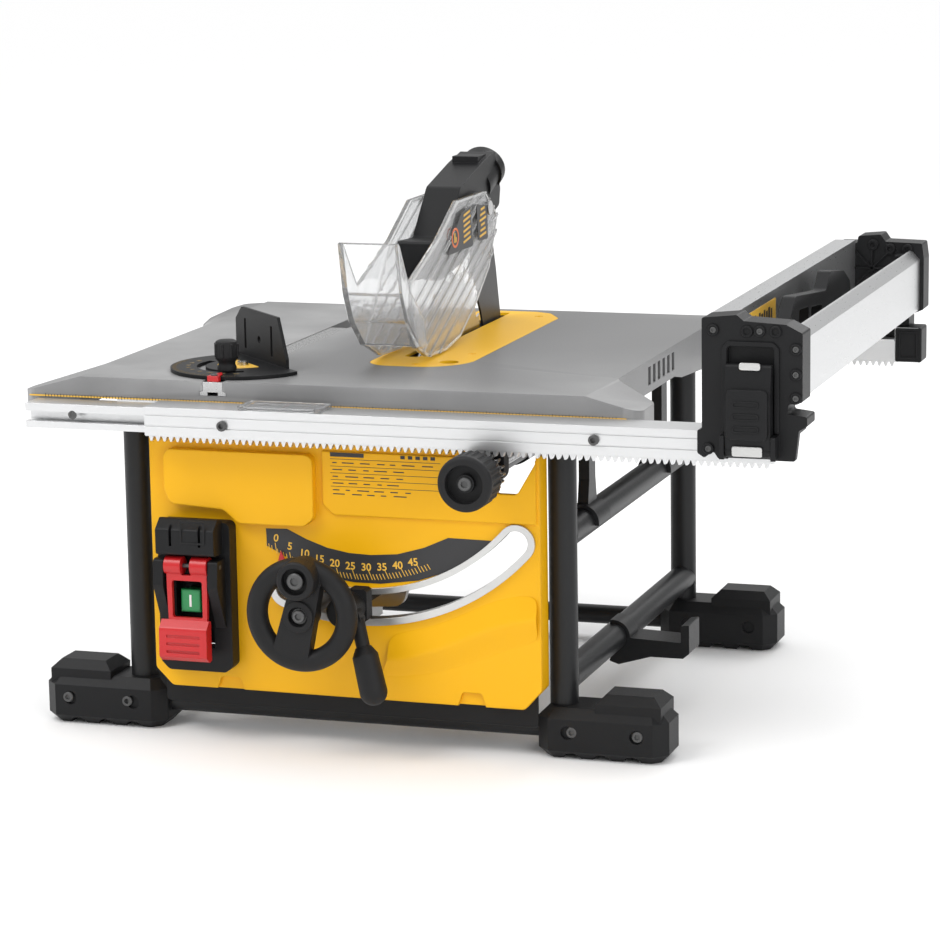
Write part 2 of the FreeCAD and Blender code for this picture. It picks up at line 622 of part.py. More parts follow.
def front_tilt_plate():
    outline = tilt_plate_outline() + [
        (PIVOT_X + 30, 150, 20), (PIVOT_X + 22, 121, 12), (PIVOT_X - 40, 116, 8), (PIVOT_X - 86, 116, 8)]
    plate = slab("y", outline, 54.4, 62)
    rib = sector(PIVOT_X, TOP, GROOVE_IN + 0.4, GROOVE_OUT - 0.4, -22, 22, 47, 55)
    shelves = [
        box(-62, 12, 61, 106, 100, 116),
        box(-62, 12, 61, 106, 298, 306),
    ]
    hub = rod(V(WHEEL_X, 61, WHEEL_Z), Y, 12, 8)
    plate = join(plate, rib, *shelves, hub)
    cuts = [
        rod(V(WHEEL_X, 40, WHEEL_Z), Y, 7 + RUN, 40),
        rod(V(LEVER_X, 40, LEVER_Z), Y, 6 + RUN, 40),
        rod(V(ROD_X, FRONT_ROD_Y, 90), Z, ROD_R, 230),
        rod(V(WHEEL_X, SCREW_Y, 90), Z, 5 + RUN, 230),
        rod(V(WHEEL_X, SCREW_Y, 115), Z, 17, 1.2),
    ]
    return plate.cut(cuts)


def rear_tilt_plate():
    outline = tilt_plate_outline() + [
        (PIVOT_X + 32, 242, 4), (PIVOT_X - 44, 242, 4), (PIVOT_X - 46, 112, 6), (PIVOT_X - 86, 112, 6)]
    plate = slab("y", outline, 443.6, 451.6)
    rib = sector(PIVOT_X, TOP, GROOVE_IN + 0.4, GROOVE_OUT - 0.4, -22, 22, 451, 459)
    shelves = [box(-58, -24, 406, 444, z, z + 12) for z in (100, 294)]
    return join(plate, rib, *shelves).cut(rod(V(ROD_X, REAR_ROD_Y, 90), Z, ROD_R, 230))


def tilt_tie_bars():
    """Two bars that hold the end plates of the tilting frame apart."""
    lower = box(-57, -49, 106, 406, 100, 112)
    upper = rod(V(PIVOT_X + 28, 62, 258), Y, 5, 443.6 - 62)
    return Part.makeCompound([lower, upper])


def guide_rods():
    rods = [rod(V(ROD_X, y, z0), Z, ROD_R, 306 - z0) for y, z0 in ((FRONT_ROD_Y, 100), (REAR_ROD_Y, 100))]
    return Part.makeCompound(rods)


def bevel_gear(apex, axis, face_from, radius, teeth=16):
    """A straight bevel gear with a 45 degree pitch cone whose apex is given; teeth point outward."""
    module = 2 * radius / teeth
    length = 6.0
    back = apex + axis * face_from
    small = radius - length - 1.2 * module
    body = Part.makeCone(radius - 1.2 * module, small, length, back, axis * -1)
    hub = rod(back, axis, radius - 2.5, 3.0)
    side = V(1, 0, 0) if abs(axis.x) < 0.5 else V(0, 1, 0)
    other = axis.cross(side)
    shapes = [body, hub]
    for k in range(teeth):
        a = 2 * math.pi * (k + (0.5 if axis.z > 0.5 else 0.0)) / teeth
        out = side * math.cos(a) + other * math.sin(a)
        across = axis.cross(out)
        wires = []
        for scale in (1.0, (radius - length) / radius):
            r = radius * scale
            low, high = r - 1.3 * module * scale, r + 0.45 * module * scale
            wide, thin = 0.42 * module * scale, 0.22 * module * scale
            level = back - axis * (radius - r)
            points = [
                level + out * low - across * wide, level + out * high - across * thin,
                level + out * high + across * thin, level + out * low + across * wide,
            ]
            wires.append(Part.makePolygon(points + points[:1]))
        shapes.append(Part.makeLoft(wires, True, True))
    return join(*shapes)


def handwheel():
    """Rim, one broad leaning spoke, a sunk hub and the boss that carries the crank grip."""
    c = V(WHEEL_X, -66, WHEEL_Z)
    rim = Part.makeTorus(42.0, 9.5, V(WHEEL_X, -55, WHEEL_Z), Y)
    spoke_dir = V(math.sin(math.radians(14)), 0, math.cos(math.radians(14)))
    across = V(spoke_dir.z, 0, -spoke_dir.x)
    corners = [
        c + spoke_dir * 40 + across * 13, c + spoke_dir * 40 - across * 13,
        c - spoke_dir * 40 - across * 17, c - spoke_dir * 40 + across * 17,
    ]
    spoke = Part.Face(Part.makePolygon([p + Y * 2 for p in corners + corners[:1]])).extrude(Y * 13)
    hub = rod(c, Y, 14, 22)
    recess = rod(c - Y, Y, 9, 7)
    seat = crank_seat()
    boss = rod(seat, Y, 17.5, 15)
    stud = rod(seat - Y * 12, Y, 3.0, 14)
    wheel = join(rim, spoke, hub, boss).cut([recess, rod(c, Y, 7, 40)])
    return join(wheel, stud)


def crank_seat():
    a = math.radians(5)
    return V(WHEEL_X + CRANK_REACH * math.sin(a), -65, WHEEL_Z + CRANK_REACH * math.cos(a))


def crank_grip():
    seat = crank_seat()
    grip = rod(V(seat.x, CRANK_FRONT, seat.z), Y, 17.5, seat.y - 0.4 - CRANK_FRONT)
    grip = filleted(grip, 3.0, lambda e: e.BoundBox.YMax < CRANK_FRONT + 0.1)
    dish = rod(V(seat.x, CRANK_FRONT - 1, seat.z), Y, 12.0, 8)
    bore = rod(V(seat.x, CRANK_FRONT - 2, seat.z), Y, 3.0 + RUN, 40)
    return grip.cut([dish, bore])


def handwheel_shaft():
    shaft = rod(V(WHEEL_X, -62, WHEEL_Z), Y, 7, 140)
    gear_end = bevel_gear(V(WHEEL_X, SCREW_Y, WHEEL_Z), Y * -1, 14.0, 14.0)
    return join(shaft, gear_end)


def lift_screw():
    screw = rod(V(WHEEL_X, SCREW_Y, 102), Z, 5, 306 - 102)
    gear_end = bevel_gear(V(WHEEL_X, SCREW_Y, WHEEL_Z), Z, 14.0, 14.0)
    return join(screw, gear_end)


def bevel_lock_lever():
    """Clamp hub in front of the slot, a stud through the tilting plate, and a long grip."""
    hub = rod(V(LEVER_X, -41, LEVER_Z), Y, 14, 41.2)
    hub = filleted(hub, 3.0, lambda e: e.BoundBox.YMax < -40.9)
    plate = slab("y", [(LEVER_X - 4, LEVER_Z - 14, 4), (LEVER_X - 4, LEVER_Z + 16, 4),
                       (LEVER_X + 15, LEVER_Z + 16, 4), (LEVER_X + 15, LEVER_Z - 14, 4)], -14, 0.2)
    arm = slab("y", [(LEVER_X, LEVER_Z + 8, 3), (LEVER_X + 16, LEVER_Z + 2, 5), (LEVER_X + 20, LEVER_Z - 10, 5),
                     (LEVER_X + 8, LEVER_Z - 14, 4), (LEVER_X - 4, LEVER_Z - 8, 3)], -40, -28)
    stud = rod(V(LEVER_X, -2, LEVER_Z), Y, 6, 76)
    nut = rod(V(LEVER_X, 62.4, LEVER_Z), Y, 10, 9)
    tip = V(LEVER_X + 34, -46, 55)
    root = V(LEVER_X + 13, -34.5, LEVER_Z - 6)
    direction = tip - root
    length = direction.Length
    neck = Part.makeCone(6.6, 6.0, length * 0.5, root, direction)
    shoulder = Part.makeCone(7.0, 11.6, length * 0.1, root + direction * 0.32, direction)
    grip = Part.makeCone(11.6, 12.4, length * 0.42, root + direction * 0.42, direction)
    knob = Part.makeSphere(12.4, root + direction * 0.84)
    return join(hub, plate, arm, stud, nut, neck, shoulder, grip, knob)


# ---- blade carriage -----------------------------------------------------------------------------
def lift_carriage():
    """Gear case and arms that slide on the guide rods."""
    case = slab("x", [(232, 320, 12), (324, 320, 12), (324, 206, 30), (232, 206, 30)], -26, 4)
    cavity = slab("x", [(236, 317, 10), (320, 317, 10), (320, 210, 26), (236, 210, 26)], -21, -4)
    front_arm = box(-26, -10, 78, 234, 236, 268)
    front_boss = rod(V(ROD_X, FRONT_ROD_Y, 236), Z, 14, 56)
    front_web = box(-44, -12, 74, 94, 236, 268)
    nut_boss = rod(V(WHEEL_X, SCREW_Y, 236), Z, 11, 40)
    nut_web = box(-26, WHEEL_X, 84, 100, 236, 268)
    rear_arm = box(-26, -10, 322, 428, 236, 268)
    rear_boss = rod(V(ROD_X, REAR_ROD_Y, 236), Z, 14, 50)
    rear_web = box(-44, -12, 414, 434, 236, 268)
    clamp_arm = box(-12, 23, 402, 428, 244, 266)
    body = join(case, front_arm, front_boss, front_web, nut_boss, nut_web, rear_arm, rear_boss, rear_web,
                clamp_arm)
    cuts = [
        cavity,
        rod(V(ROD_X, FRONT_ROD_Y, 230), Z, ROD_R + RUN, 80),
        rod(V(ROD_X, REAR_ROD_Y, 230), Z, ROD_R + RUN, 80),
        rod(V(WHEEL_X, SCREW_Y, 230), Z, 5 + RUN, 80),
        rod(V(-30, BLADE_Y, ARBOR_Z), X, 14, 40),
        rod(V(-30, BLADE_Y, MOTOR_Z), X, 9, 9.5),
    ]
    return body.cut(cuts)


def arbor_bearings():
    rings = [ring(V(x, BLADE_Y, ARBOR_Z), X, 14, 7.5 + RUN, wide) for x, wide in ((-26, 5), (-4, 8))]
    return Part.makeCompound(rings)


def arbor_shaft():
    shaft = rod(V(-25.7, BLADE_Y, ARBOR_Z), X, 7.5, 44.8)
    nose = rod(V(19, BLADE_Y, ARBOR_Z), X, 6.0, 19)
    driven = gear("x", (BLADE_Y, ARBOR_Z), GEAR_TEETH, GEAR_MODULE, -18, -8)
    return join(shaft, nose, driven)


def rotor_shaft():
    """Motor shaft with its pinion, the rotor core and a cooling fan inside the motor housing."""
    pinion = gear("x", (BLADE_Y, MOTOR_Z), ROTOR_TEETH, GEAR_MODULE, -18.5, -7.5, 90 + 15)
    shaft = rod(V(-161.5, BLADE_Y, MOTOR_Z), X, 5, 153.5)
    core = rod(V(-120, BLADE_Y, MOTOR_Z), X, 26, 60)
    fan = rod(V(-50, BLADE_Y, MOTOR_Z), X, 34, 8)
    blades = [
        box(-42.5, -36, BLADE_Y - 1, BLADE_Y + 1, MOTOR_Z + 9, MOTOR_Z + 33).rotate(
            V(0, BLADE_Y, MOTOR_Z), X, 40 * k)
        for k in range(9)
    ]
    return join(pinion, shaft, core, fan, *blades)


def motor_housing():
    """A ribbed plastic can with vents, closed by a cap at its far end."""
    can = rod(V(-168, BLADE_Y, MOTOR_Z), X, 44, 142)
    can = filleted(can, 6.0, lambda e: e.BoundBox.XMax < -167.9)
    inside = rod(V(-162, BLADE_Y, MOTOR_Z), X, 39, 131)
    bores = [rod(V(-163, BLADE_Y, MOTOR_Z), X, 5 + RUN, 9), rod(V(-35, BLADE_Y, MOTOR_Z), X, 5 + RUN, 12)]
    rear_seat = rod(V(-163, BLADE_Y, MOTOR_Z), X, 12, 8)
    vents = [
        box(-150, -128, BLADE_Y - 2, BLADE_Y + 2, MOTOR_Z + 36, MOTOR_Z + 50).rotate(
            V(0, BLADE_Y, MOTOR_Z), X, 30 * k)
        for k in range(12)
    ]
    return can.cut([inside] + vents).fuse(rear_seat).removeSplitter().cut(bores)


def saw_blade():
    teeth = 24
    points = []
    for k in range(teeth):
        a = 2 * math.pi * k / teeth
        for radius, offset in ((BLADE_R, 0.0), (BLADE_R - 9, 0.02), (BLADE_R - 10, 0.06),
                               (BLADE_R - 7, 0.12), (BLADE_R - 2.5, 0.215)):
            b = a + offset
            points.append((BLADE_Y + radius * math.cos(b), ARBOR_Z + radius * math.sin(b)))
    disc = slab("x", points, BLADE_X - 0.9, BLADE_X + 0.9)
    slots = []
    for k in range(4):
        a = math.radians(90 * k + 20)
        slot = box(BLADE_X - 2, BLADE_X + 2, BLADE_Y + 76, BLADE_Y + 108, ARBOR_Z - 0.6, ARBOR_Z + 0.6)
        slots.append(slot.rotate(V(0, BLADE_Y, ARBOR_Z), X, math.degrees(a)))
        eye = rod(V(BLADE_X - 2, BLADE_Y + 76, ARBOR_Z), X, 2.5, 4)
        slots.append(eye.rotate(V(0, BLADE_Y, ARBOR_Z), X, math.degrees(a)))
    bore = rod(V(BLADE_X - 2, BLADE_Y, ARBOR_Z), X, 6.0, 4)
    return disc.cut(slots + [bore])


def blade_flanges():
    inner = ring(V(19.1, BLADE_Y, ARBOR_Z), X, 21, 6.0, BLADE_X - 0.9 - 19.1)
    outer = ring(V(BLADE_X + 0.9, BLADE_Y, ARBOR_Z), X, 21, 6.0, 3.1)
    return Part.makeCompound([inner, outer])


def arbor_nut():
    corners = [
        (BLADE_Y + 10.5 * math.cos(math.radians(60 * k)), ARBOR_Z + 10.5 * math.sin(math.radians(60 * k)))
        for k in range(6)
    ]
    return slab("x", corners, BLADE_X + 4.0, BLADE_X + 11.0).cut(rod(V(20, BLADE_Y, ARBOR_Z), X, 6.0, 30))


def blade_shroud():
    """Dust shell round the lower blade, open at the top, with a round outlet at the rear."""
    def shell(grow, x0, x1):
        body = rod(V(x0, BLADE_Y, ARBOR_Z), X, 118 + grow, x1 - x0)
        return body.cut(box(x0 - 1, x1 + 1, 0, 600, 298, 600))

    outer = shell(0, 6.5, 41)
    inner = shell(-2.2, 8.7, 38.8)
    inner = inner.fuse(box(8.7, 38.8, BLADE_Y - 114, BLADE_Y + 114, 290, 300))
    duct = rod(V(BLADE_X, 330, 205), Y, 30, 150)
    duct_hole = rod(V(BLADE_X, 330, 205), Y, 27.5, 161)
    port = rod(V(BLADE_X, 462, 205), Y, 32.5, 24)
    port_hole = rod(V(BLADE_X, 460, 205), Y, 29.5, 50)
    hub_hole = rod(V(5, BLADE_Y, ARBOR_Z), X, 23, 6)
    body = join(outer, duct, port).cut([inner, hub_hole])
    duct_open = duct_hole.cut(box(-20, 60, 300, 340, 150, 260))
    body = body.cut([duct_open, port_hole])
    ring_mount = ring(V(4, BLADE_Y, ARBOR_Z), X, 30, 23, 3)
    return join(body, ring_mount)


def riving_knife():
    inner = 110.0
    arc = []
    for degrees in (64, 52, 40, 29, 18, 8):
        a = math.radians(degrees)
        arc.append((BLADE_Y + inner * math.cos(a), ARBOR_Z + inner * math.sin(a)))
    outline = [(399.5, 303, 2), (401, 242, 3), (430, 242, 3), (434, 300, 10), (437, 330, 20), (424, 380, 30),
               (400, 450, 6), (357, 450, 6), (334, 404, 4)]
    return slab("x", outline + arc, BLADE_X - 1.0, BLADE_X + 1.0)


def port_axis():
    """The guard's dust outlet: where it starts inside the arm, and the way it points."""
    return V(20, 365, 468), V(0, math.cos(math.radians(20)), math.sin(math.radians(20)))


def guard_arm():
    """Hollow black arm clamped over the riving knife, ending in a round dust port."""
    x0, x1 = 3.0, 37.0
    outline = [
        (190, 399, 3), (192, 435, 3), (236, 433, 6), (279, 476, 10), (345, 492, 8), (388, 500, 6),
        (404, 462, 6), (400, 446, 6), (330, 426, 10), (262, 404, 10), (212, 397, 5),
    ]
    arm = slab("x", outline, x0, x1)
    start, axis = port_axis()
    port = rod(start, axis, 19.5, 36)
    flare = rod(start + axis * 30, axis, 22, 12)
    mouth = rod(start + axis * 18, axis, 17, 50)
    throat = rod(start, axis, 13, 20)
    knife_slot = box(BLADE_X - 1.05, BLADE_X + 1.05, 320, 440, 390, 452.5)
    clip = box(x0 + 4, x1 - 4, 346, 372, 486, 498.5)
    hollow = slab("x", [(198, 404), (198, 430), (238, 427), (281, 469), (340, 484), (362, 486), (362, 470),
                        (330, 460), (300, 446), (262, 424), (215, 404)], x0 + 3, x1 - 3)
    arm = join(arm, port, flare, clip)
    blade_room = slab("x", [(212, 390), (214, 406), (262, 425), (300, 420), (300, 390)], BLADE_X - 6, BLADE_X + 6)
    pin_hole = rod(V(-10, GUARD_Y, GUARD_Z), X, 4 + RUN, 70)
    return arm.cut([mouth, throat, knife_slot, hollow, blade_room, pin_hole])


# ---- guard --------------------------------------------------------------------------------------
def guard_pivot_pin():
    pin = rod(V(SHIELD_LEFT - 3.5, GUARD_Y, GUARD_Z), X, 4, SHIELD_RIGHT - SHIELD_LEFT + 11)
    head = rod(V(SHIELD_RIGHT + SHIELD_THICK + 0.4, GUARD_Y, GUARD_Z), X, 7, 3)
    return join(pin, head)


def left_shield_bush():
    return ring(V(SHIELD_LEFT - 3.5, GUARD_Y, GUARD_Z), X, 8, 4 + RUN, SHIELD_THICK + 4)


def shield_outline():
    return [
        (120, 347, 10), (156, 333, 12), (208, 331.3, 10), (250, 337.5, 10), (298, 361, 8), (343, 392, 8),
        (361, 422, 8), (371, 440, 8), (332, 467, 10), (247, 467, 8), (187, 436.5, 20),
    ]


def right_guard_shield():
    outline = shield_outline() + [(108, 408, 5), (105, 377, 12)]
    side = slab("x", outline, SHIELD_RIGHT, SHIELD_RIGHT + SHIELD_THICK)
    outer = slab("x", outline, SHIELD_RIGHT, SHIELD_RIGHT + 6)
    ribs = []
    for k in range(7):
        z = 288 + 14 * k
        rib = slab("x", [(90, z), (380, z + 129), (380, z + 132), (90, z + 3)], SHIELD_RIGHT + 3, SHIELD_RIGHT + 6)
        ribs += rib.common(outer).Solids
    face = SHIELD_RIGHT + SHIELD_THICK
    seat = rod(V(face, GUARD_Y, GUARD_Z), X, 9, 5)
    return join(side, *ribs).cut([seat, rod(V(0, GUARD_Y, GUARD_Z), X, 4 + RUN, 60)])


def left_guard_shield():
    """The left shield carries the bow that wraps the front of the guard, outside the right shield."""
    x0, x1 = SHIELD_LEFT, SHIELD_RIGHT + 10.5
    nose = [(108, 408, 5), (98, 406, 4), (63, 449), (57, 449), (67.5, 402, 8), (81, 375.5, 12)]
    side = slab("x", shield_outline() + nose + [(111, 349.5)], x0, x0 + SHIELD_THICK)
    bow = slab("x", [(111, 349.5), (81, 375.5, 12), (67.5, 402, 8), (57, 449), (61, 449.8), (71.5, 403.5, 6),
                     (84.5, 378.5, 10), (113.5, 353)], x0, x1)
    leg = slab("x", [(57, 449), (63, 448), (90, 404, 12), (128, 372, 12), (136, 346, 3), (111, 349.5),
                     (81, 375.5, 12), (67.5, 402, 8)], x1 - 3.5, x1)
    return join(side, bow, leg).cut(rod(V(-20, GUARD_Y, GUARD_Z), X, 8 + RUN, 30))


# ---- fence --------------------------------------------------------------------------------------
def fence_left_plate():
    plate = box(FENCE_LEFT, FENCE_LEFT + 20, FENCE_FRONT, FENCE_REAR, FENCE_FOOT, FENCE_TOP)
    hollows = [
        box(FENCE_LEFT + 2.5, FENCE_LEFT + 17.5, FENCE_FRONT - 1, FENCE_REAR + 1, z0, z1)
        for z0, z1 in ((FENCE_FOOT + 2.5, 366), (369, FENCE_TOP - 2.5))
    ]
    return plate.cut(hollows)


def fence_right_plate():
    plate = slab("y", [(FENCE_RIGHT, 340), (FENCE_RIGHT, 389), (FENCE_RIGHT - 8, 398), (FENCE_RIGHT - 10, 398),
                      (FENCE_RIGHT - 10, 340)], FENCE_FRONT - 8, FENCE_REAR)
    return join(plate, *push_stick_clips())


def fence_front_bracket():
    back = slab(
        "y",
        [(354, 314), (354, 409), (384, 412), (390, 407), (426, 405), (440, 398), (440, 340), (428, 338),
         (427, 330), (X_MAX, 328), (X_MAX, 320), (437, 316), (434, 290), (368, 290), (364, 296), (356, 290),
         (350, 294), (350, 314)],
        -46, FENCE_FRONT - 0.0, 2.0,
    )
    rail_room = box(330, 460, -38.6, 0, 270, 313)
    window = slab("y", [(376.2, 386, 4), (376.2, 288), (416, 288), (416, 386, 4)], -47, -41)
    body = back.cut([rail_room, window])
    side_lugs = [
        box(FENCE_LEFT + 2.6, FENCE_LEFT + 17.4, FENCE_FRONT - 1, FENCE_FRONT + 16, 371, 403),
        box(FENCE_RIGHT - 22, FENCE_RIGHT - 10.1, FENCE_FRONT - 9, FENCE_FRONT + 16, 345, 395),
    ]
    cheeks = [box(x, x + 4, -60, -44, 292, 312) for x in (372.2, 416.0)]
    notch = box(FENCE_RIGHT - 10.05, FENCE_RIGHT + 0.05, FENCE_FRONT - 8, 0, 339.9, 398.1)
    body = join(body.cut(notch), *side_lugs, *cheeks)
    pin = rod(V(372.2, FRONT_LATCH_Y, LATCH_Z), X, 3.0, 47.8)
    return join(body, pin)


def fence_rear_bracket():
    back = slab(
        "y",
        [(354, 314), (354, 404), (374, 404), (375, 411), (397, 413), (402, 406), (438, 405), (440, 390),
         (440, 340), (426, 334), (426, 290), (366, 290), (366, 314)],
        FENCE_REAR, 526, 2.0,
    )
    rail_room = box(330, 460, 480, 516.8, 270, 313)
    side_lugs = [
        box(FENCE_LEFT + 2.6, FENCE_LEFT + 17.4, FENCE_REAR - 16, FENCE_REAR + 1, 371, 403),
        box(FENCE_RIGHT - 22, FENCE_RIGHT - 10.1, FENCE_REAR - 16, FENCE_REAR + 1, 345, 395),
    ]
    cheeks = [box(x, x + 4, 524, 538, 292, 312) for x in (372.2, 416.0)]
    cap_room = box(RACK_TO - GAP, 460, 480, 516.8, 270, 323 + GAP)
    window = box(376.2, 416, 522.5, 527, 288, 386)
    body = join(back.cut([rail_room, cap_room, window]), *side_lugs, *cheeks)
    return join(body, rod(V(372.2, REAR_LATCH_Y, LATCH_Z), X, 3.0, 47.8))


def latch(y_hinge, side):
    """An over-centre latch lever: barrel round its pin, a ribbed face, thicker at the top."""
    y = y_hinge
    outline = [(y, LATCH_Z - 6), (y + side * 5, LATCH_Z - 4), (y + side * 8, 318), (y + side * 9, 342, 4),
               (y + side * 3, 372, 3), (y - side * 2, 372, 2), (y - side * 4, 310)]
    lever = slab("x", outline, 376.6, 415.6)
    barrel = rod(V(376.6, y, LATCH_Z), X, 6.0, 39)
    grooves = [
        box(384, 404, *sorted((y + side * 7.2, y + side * 12)), z, z + 3) for z in (317, 326, 335)
    ]
    bore = rod(V(370, y, LATCH_Z), X, 3.0 + RUN, 60)
    return join(lever, barrel).cut(grooves + [bore])


def front_latch():
    return latch(FRONT_LATCH_Y, -1)


def rear_latch():
    return latch(REAR_LATCH_Y, 1)


def push_stick():
    outline = [
        (60, 346, 4), (72, 388, 6), (99, 408, 8), (180, 400, 8), (222, 396, 8), (243, 411, 6), (300, 404, 8),
        (330, 390, 8), (330, 368, 8), (250, 362, 10), (180, 352, 10), (120, 344, 6), (100, 354, 4),
    ]
    stick = slab("x", outline, 390, 402)
    windows = [
        slab("x", [(104, 362, 4), (112, 394, 4), (150, 392, 4), (150, 364, 4)], 380, 410),
        slab("x", [(160, 366, 4), (160, 390, 4), (205, 386, 4), (205, 370, 4)], 380, 410),
    ]
    return stick.cut(windows)


def push_stick_clips():
    """Two shelves on the right fence plate that carry the push stick."""
    out = []
    for y, top in ((140.0, 345.5), (270.0, 362.6)):
        shelf = box(388, FENCE_RIGHT - 10, y - 6, y + 6, top - 5, top)
        back = box(FENCE_RIGHT - 13, FENCE_RIGHT - 10, y - 8, y + 8, top - 5, top + 20)
        out.append(join(shelf, back))
    return out


# ---- miter gauge --------------------------------------------------------------------------------
def miter_bar():
    upper = box(SLOT_X - 9.5, SLOT_X + 9.5, 0.2, 330, 319.5, 329.4)
    lower = box(SLOT_X - 12.5, SLOT_X + 12.5, 0.2, 330, 317.1, 320.6)
    groove = box(SLOT_X - 5, SLOT_X + 5, -1, 331, 316, 320.2)
    post = rod(V(SLOT_X, MITER_Y, 329), Z, 5, 8)
    pointer = box(SLOT_X - 4, SLOT_X + 4, 2, 7.5, 329, 330.2)
    return join(upper, lower, post, pointer).cut(groove)


def miter_head():
    """A half-round protractor with an upright fence along its straight edge."""
    radius = 66.0
    disc = rod(V(SLOT_X, MITER_Y, 330.4), Z, radius, 3.0)
    disc = disc.cut(box(SLOT_X - 100, SLOT_X + 100, MITER_Y + 27.5, MITER_Y + 120, 320, 340))
    base = box(SLOT_X - 72, SLOT_X + 42, MITER_Y + 10, MITER_Y + 27.5, 330.4, 333.4)
    fence = slab(
        "y",
        [(SLOT_X - 72, 330.4), (SLOT_X - 72, 366), (SLOT_X - 58, 378), (SLOT_X + 24, 378), (SLOT_X + 42, 342),
         (SLOT_X + 42, 330.4)],
        MITER_Y + 24.5, MITER_Y + 27.5, 1.5,
    )
    slot = sector_flat(SLOT_X, MITER_Y, 34, 42, -68, 68, 329, 335)
    windows = [box(x, x + 4.5, MITER_Y + 20, MITER_Y + 30, 340, 368) for x in (SLOT_X - 52, SLOT_X + 8)]
    windows.append(rod(V(SLOT_X - 18, MITER_Y + 20, 352), Y, 3.5, 12))
    bore = rod(V(SLOT_X, MITER_Y, 325), Z, 5 + RUN, 12)
    head = join(disc, base, fence).cut([slot, bore] + windows)
    return head.rotate(V(SLOT_X, MITER_Y, 0), Z, MITER_ANGLE)


def sector_flat(centre_x, centre_y, inner, outer, start, end, z0, z1):
    """Part of a ring lying flat; angles in degrees from -Y, + towards +X."""

    def at(radius, degrees):
        a = math.radians(degrees)
        return V(centre_x + radius * math.sin(a), centre_y - radius * math.cos(a), z0)

    mid = (start + end) / 2
    edges = [
        Part.Arc(at(inner, start), at(inner, mid), at(inner, end)).toShape(),
        Part.LineSegment(at(inner, end), at(outer, end)).toShape(),
        Part.Arc(at(outer, end), at(outer, mid), at(outer, start)).toShape(),
        Part.LineSegment(at(outer, start), at(inner, start)).toShape(),
    ]
    return Part.Face(Part.Wire(edges)).extrude(V(0, 0, z1 - z0))


def miter_knob():
    """The clamp knob on its stud, which passes through the head's arc slot into the bar."""
    centre = V(SLOT_X, MITER_Y - 38, 0)
    knob = rod(centre + Z * 339, Z, 12, 26)
    knob = filleted(knob, 3.0, lambda e: e.BoundBox.ZMin > 364)
    waist = rod(centre + Z * 334, Z, 9, 6)
    stud = rod(centre + Z * 329.7, Z, 3.5, 6)
    flutes = [
        rod(centre + V(13.2 * math.cos(a), 13.2 * math.sin(a), 342), Z, 2.4, 20)
        for a in (math.radians(45 * k) for k in range(8))
    ]
    return join(knob.cut(flutes), waist, stud)


# ---- hand-in ------------------------------------------------------------------------------------
PIECES = [
    upright_tubes, frame_cross_members, feet, saddle_brackets, storage_bracket,
    table_top, throat_plate, front_fixed_rail, rear_fixed_rail, pinion_shaft_brackets,
    front_panel, bevel_slot_rim, switch_housing, paddle_pin, trunnion_brackets, stop_paddle, start_button,
    front_tilt_plate, rear_tilt_plate, tilt_tie_bars, guide_rods,
    handwheel, handwheel_shaft, crank_grip, lift_screw, bevel_lock_lever,
    lift_carriage, arbor_bearings, motor_housing, blade_shroud, riving_knife, guard_arm,
    rotor_shaft, arbor_shaft, saw_blade, blade_flanges, arbor_nut,
    guard_pivot_pin, left_shield_bush, left_guard_shield, right_guard_shield,
    front_moving_rail, rear_moving_rail, pinion_shaft, rip_knob,
    fence_left_plate, fence_right_plate, fence_front_bracket, fence_rear_bracket, front_latch, rear_latch,
    push_stick, miter_bar, miter_head, miter_knob,
]


def main():
    os.makedirs("parts", exist_ok=True)
    for piece in PIECES:
        shape = piece()
        shape.translate(ORIGIN)
        shape.exportStep(f"parts/{piece.__name__}.step")


if __name__ == "__main__":
    main()
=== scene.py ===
"""Looks for a compact jobsite table saw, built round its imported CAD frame.

Lengths below are millimetres in the saw's own layout: X from the table's centre line, Y from the
table's front edge, Z from the floor. at() turns them into metres in the frame.
"""
import math

import bmesh
import bpy
from mathutils import Matrix, Vector


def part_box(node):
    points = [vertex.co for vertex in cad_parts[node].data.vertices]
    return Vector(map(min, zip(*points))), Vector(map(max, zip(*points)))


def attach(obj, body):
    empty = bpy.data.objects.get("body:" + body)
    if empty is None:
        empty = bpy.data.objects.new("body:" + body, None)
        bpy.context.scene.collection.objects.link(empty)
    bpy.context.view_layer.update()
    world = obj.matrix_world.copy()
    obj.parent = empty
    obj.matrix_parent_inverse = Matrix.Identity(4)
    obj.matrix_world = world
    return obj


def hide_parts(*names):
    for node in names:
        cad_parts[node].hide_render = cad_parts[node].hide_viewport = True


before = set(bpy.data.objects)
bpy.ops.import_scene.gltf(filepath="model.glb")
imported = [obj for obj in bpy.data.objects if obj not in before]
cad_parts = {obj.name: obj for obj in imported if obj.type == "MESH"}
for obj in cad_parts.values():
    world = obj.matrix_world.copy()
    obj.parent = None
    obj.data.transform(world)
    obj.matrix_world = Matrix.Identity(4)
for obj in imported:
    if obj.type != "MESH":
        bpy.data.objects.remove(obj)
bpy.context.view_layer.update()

# ---- layout -------------------------------------------------------------------------------------
MM = 0.001
TABLE_LEFT_WING = -295.0
table_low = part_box("table_top")[0]
ZERO = Vector((table_low[0] - TABLE_LEFT_WING * MM, table_low[1], 0.0))

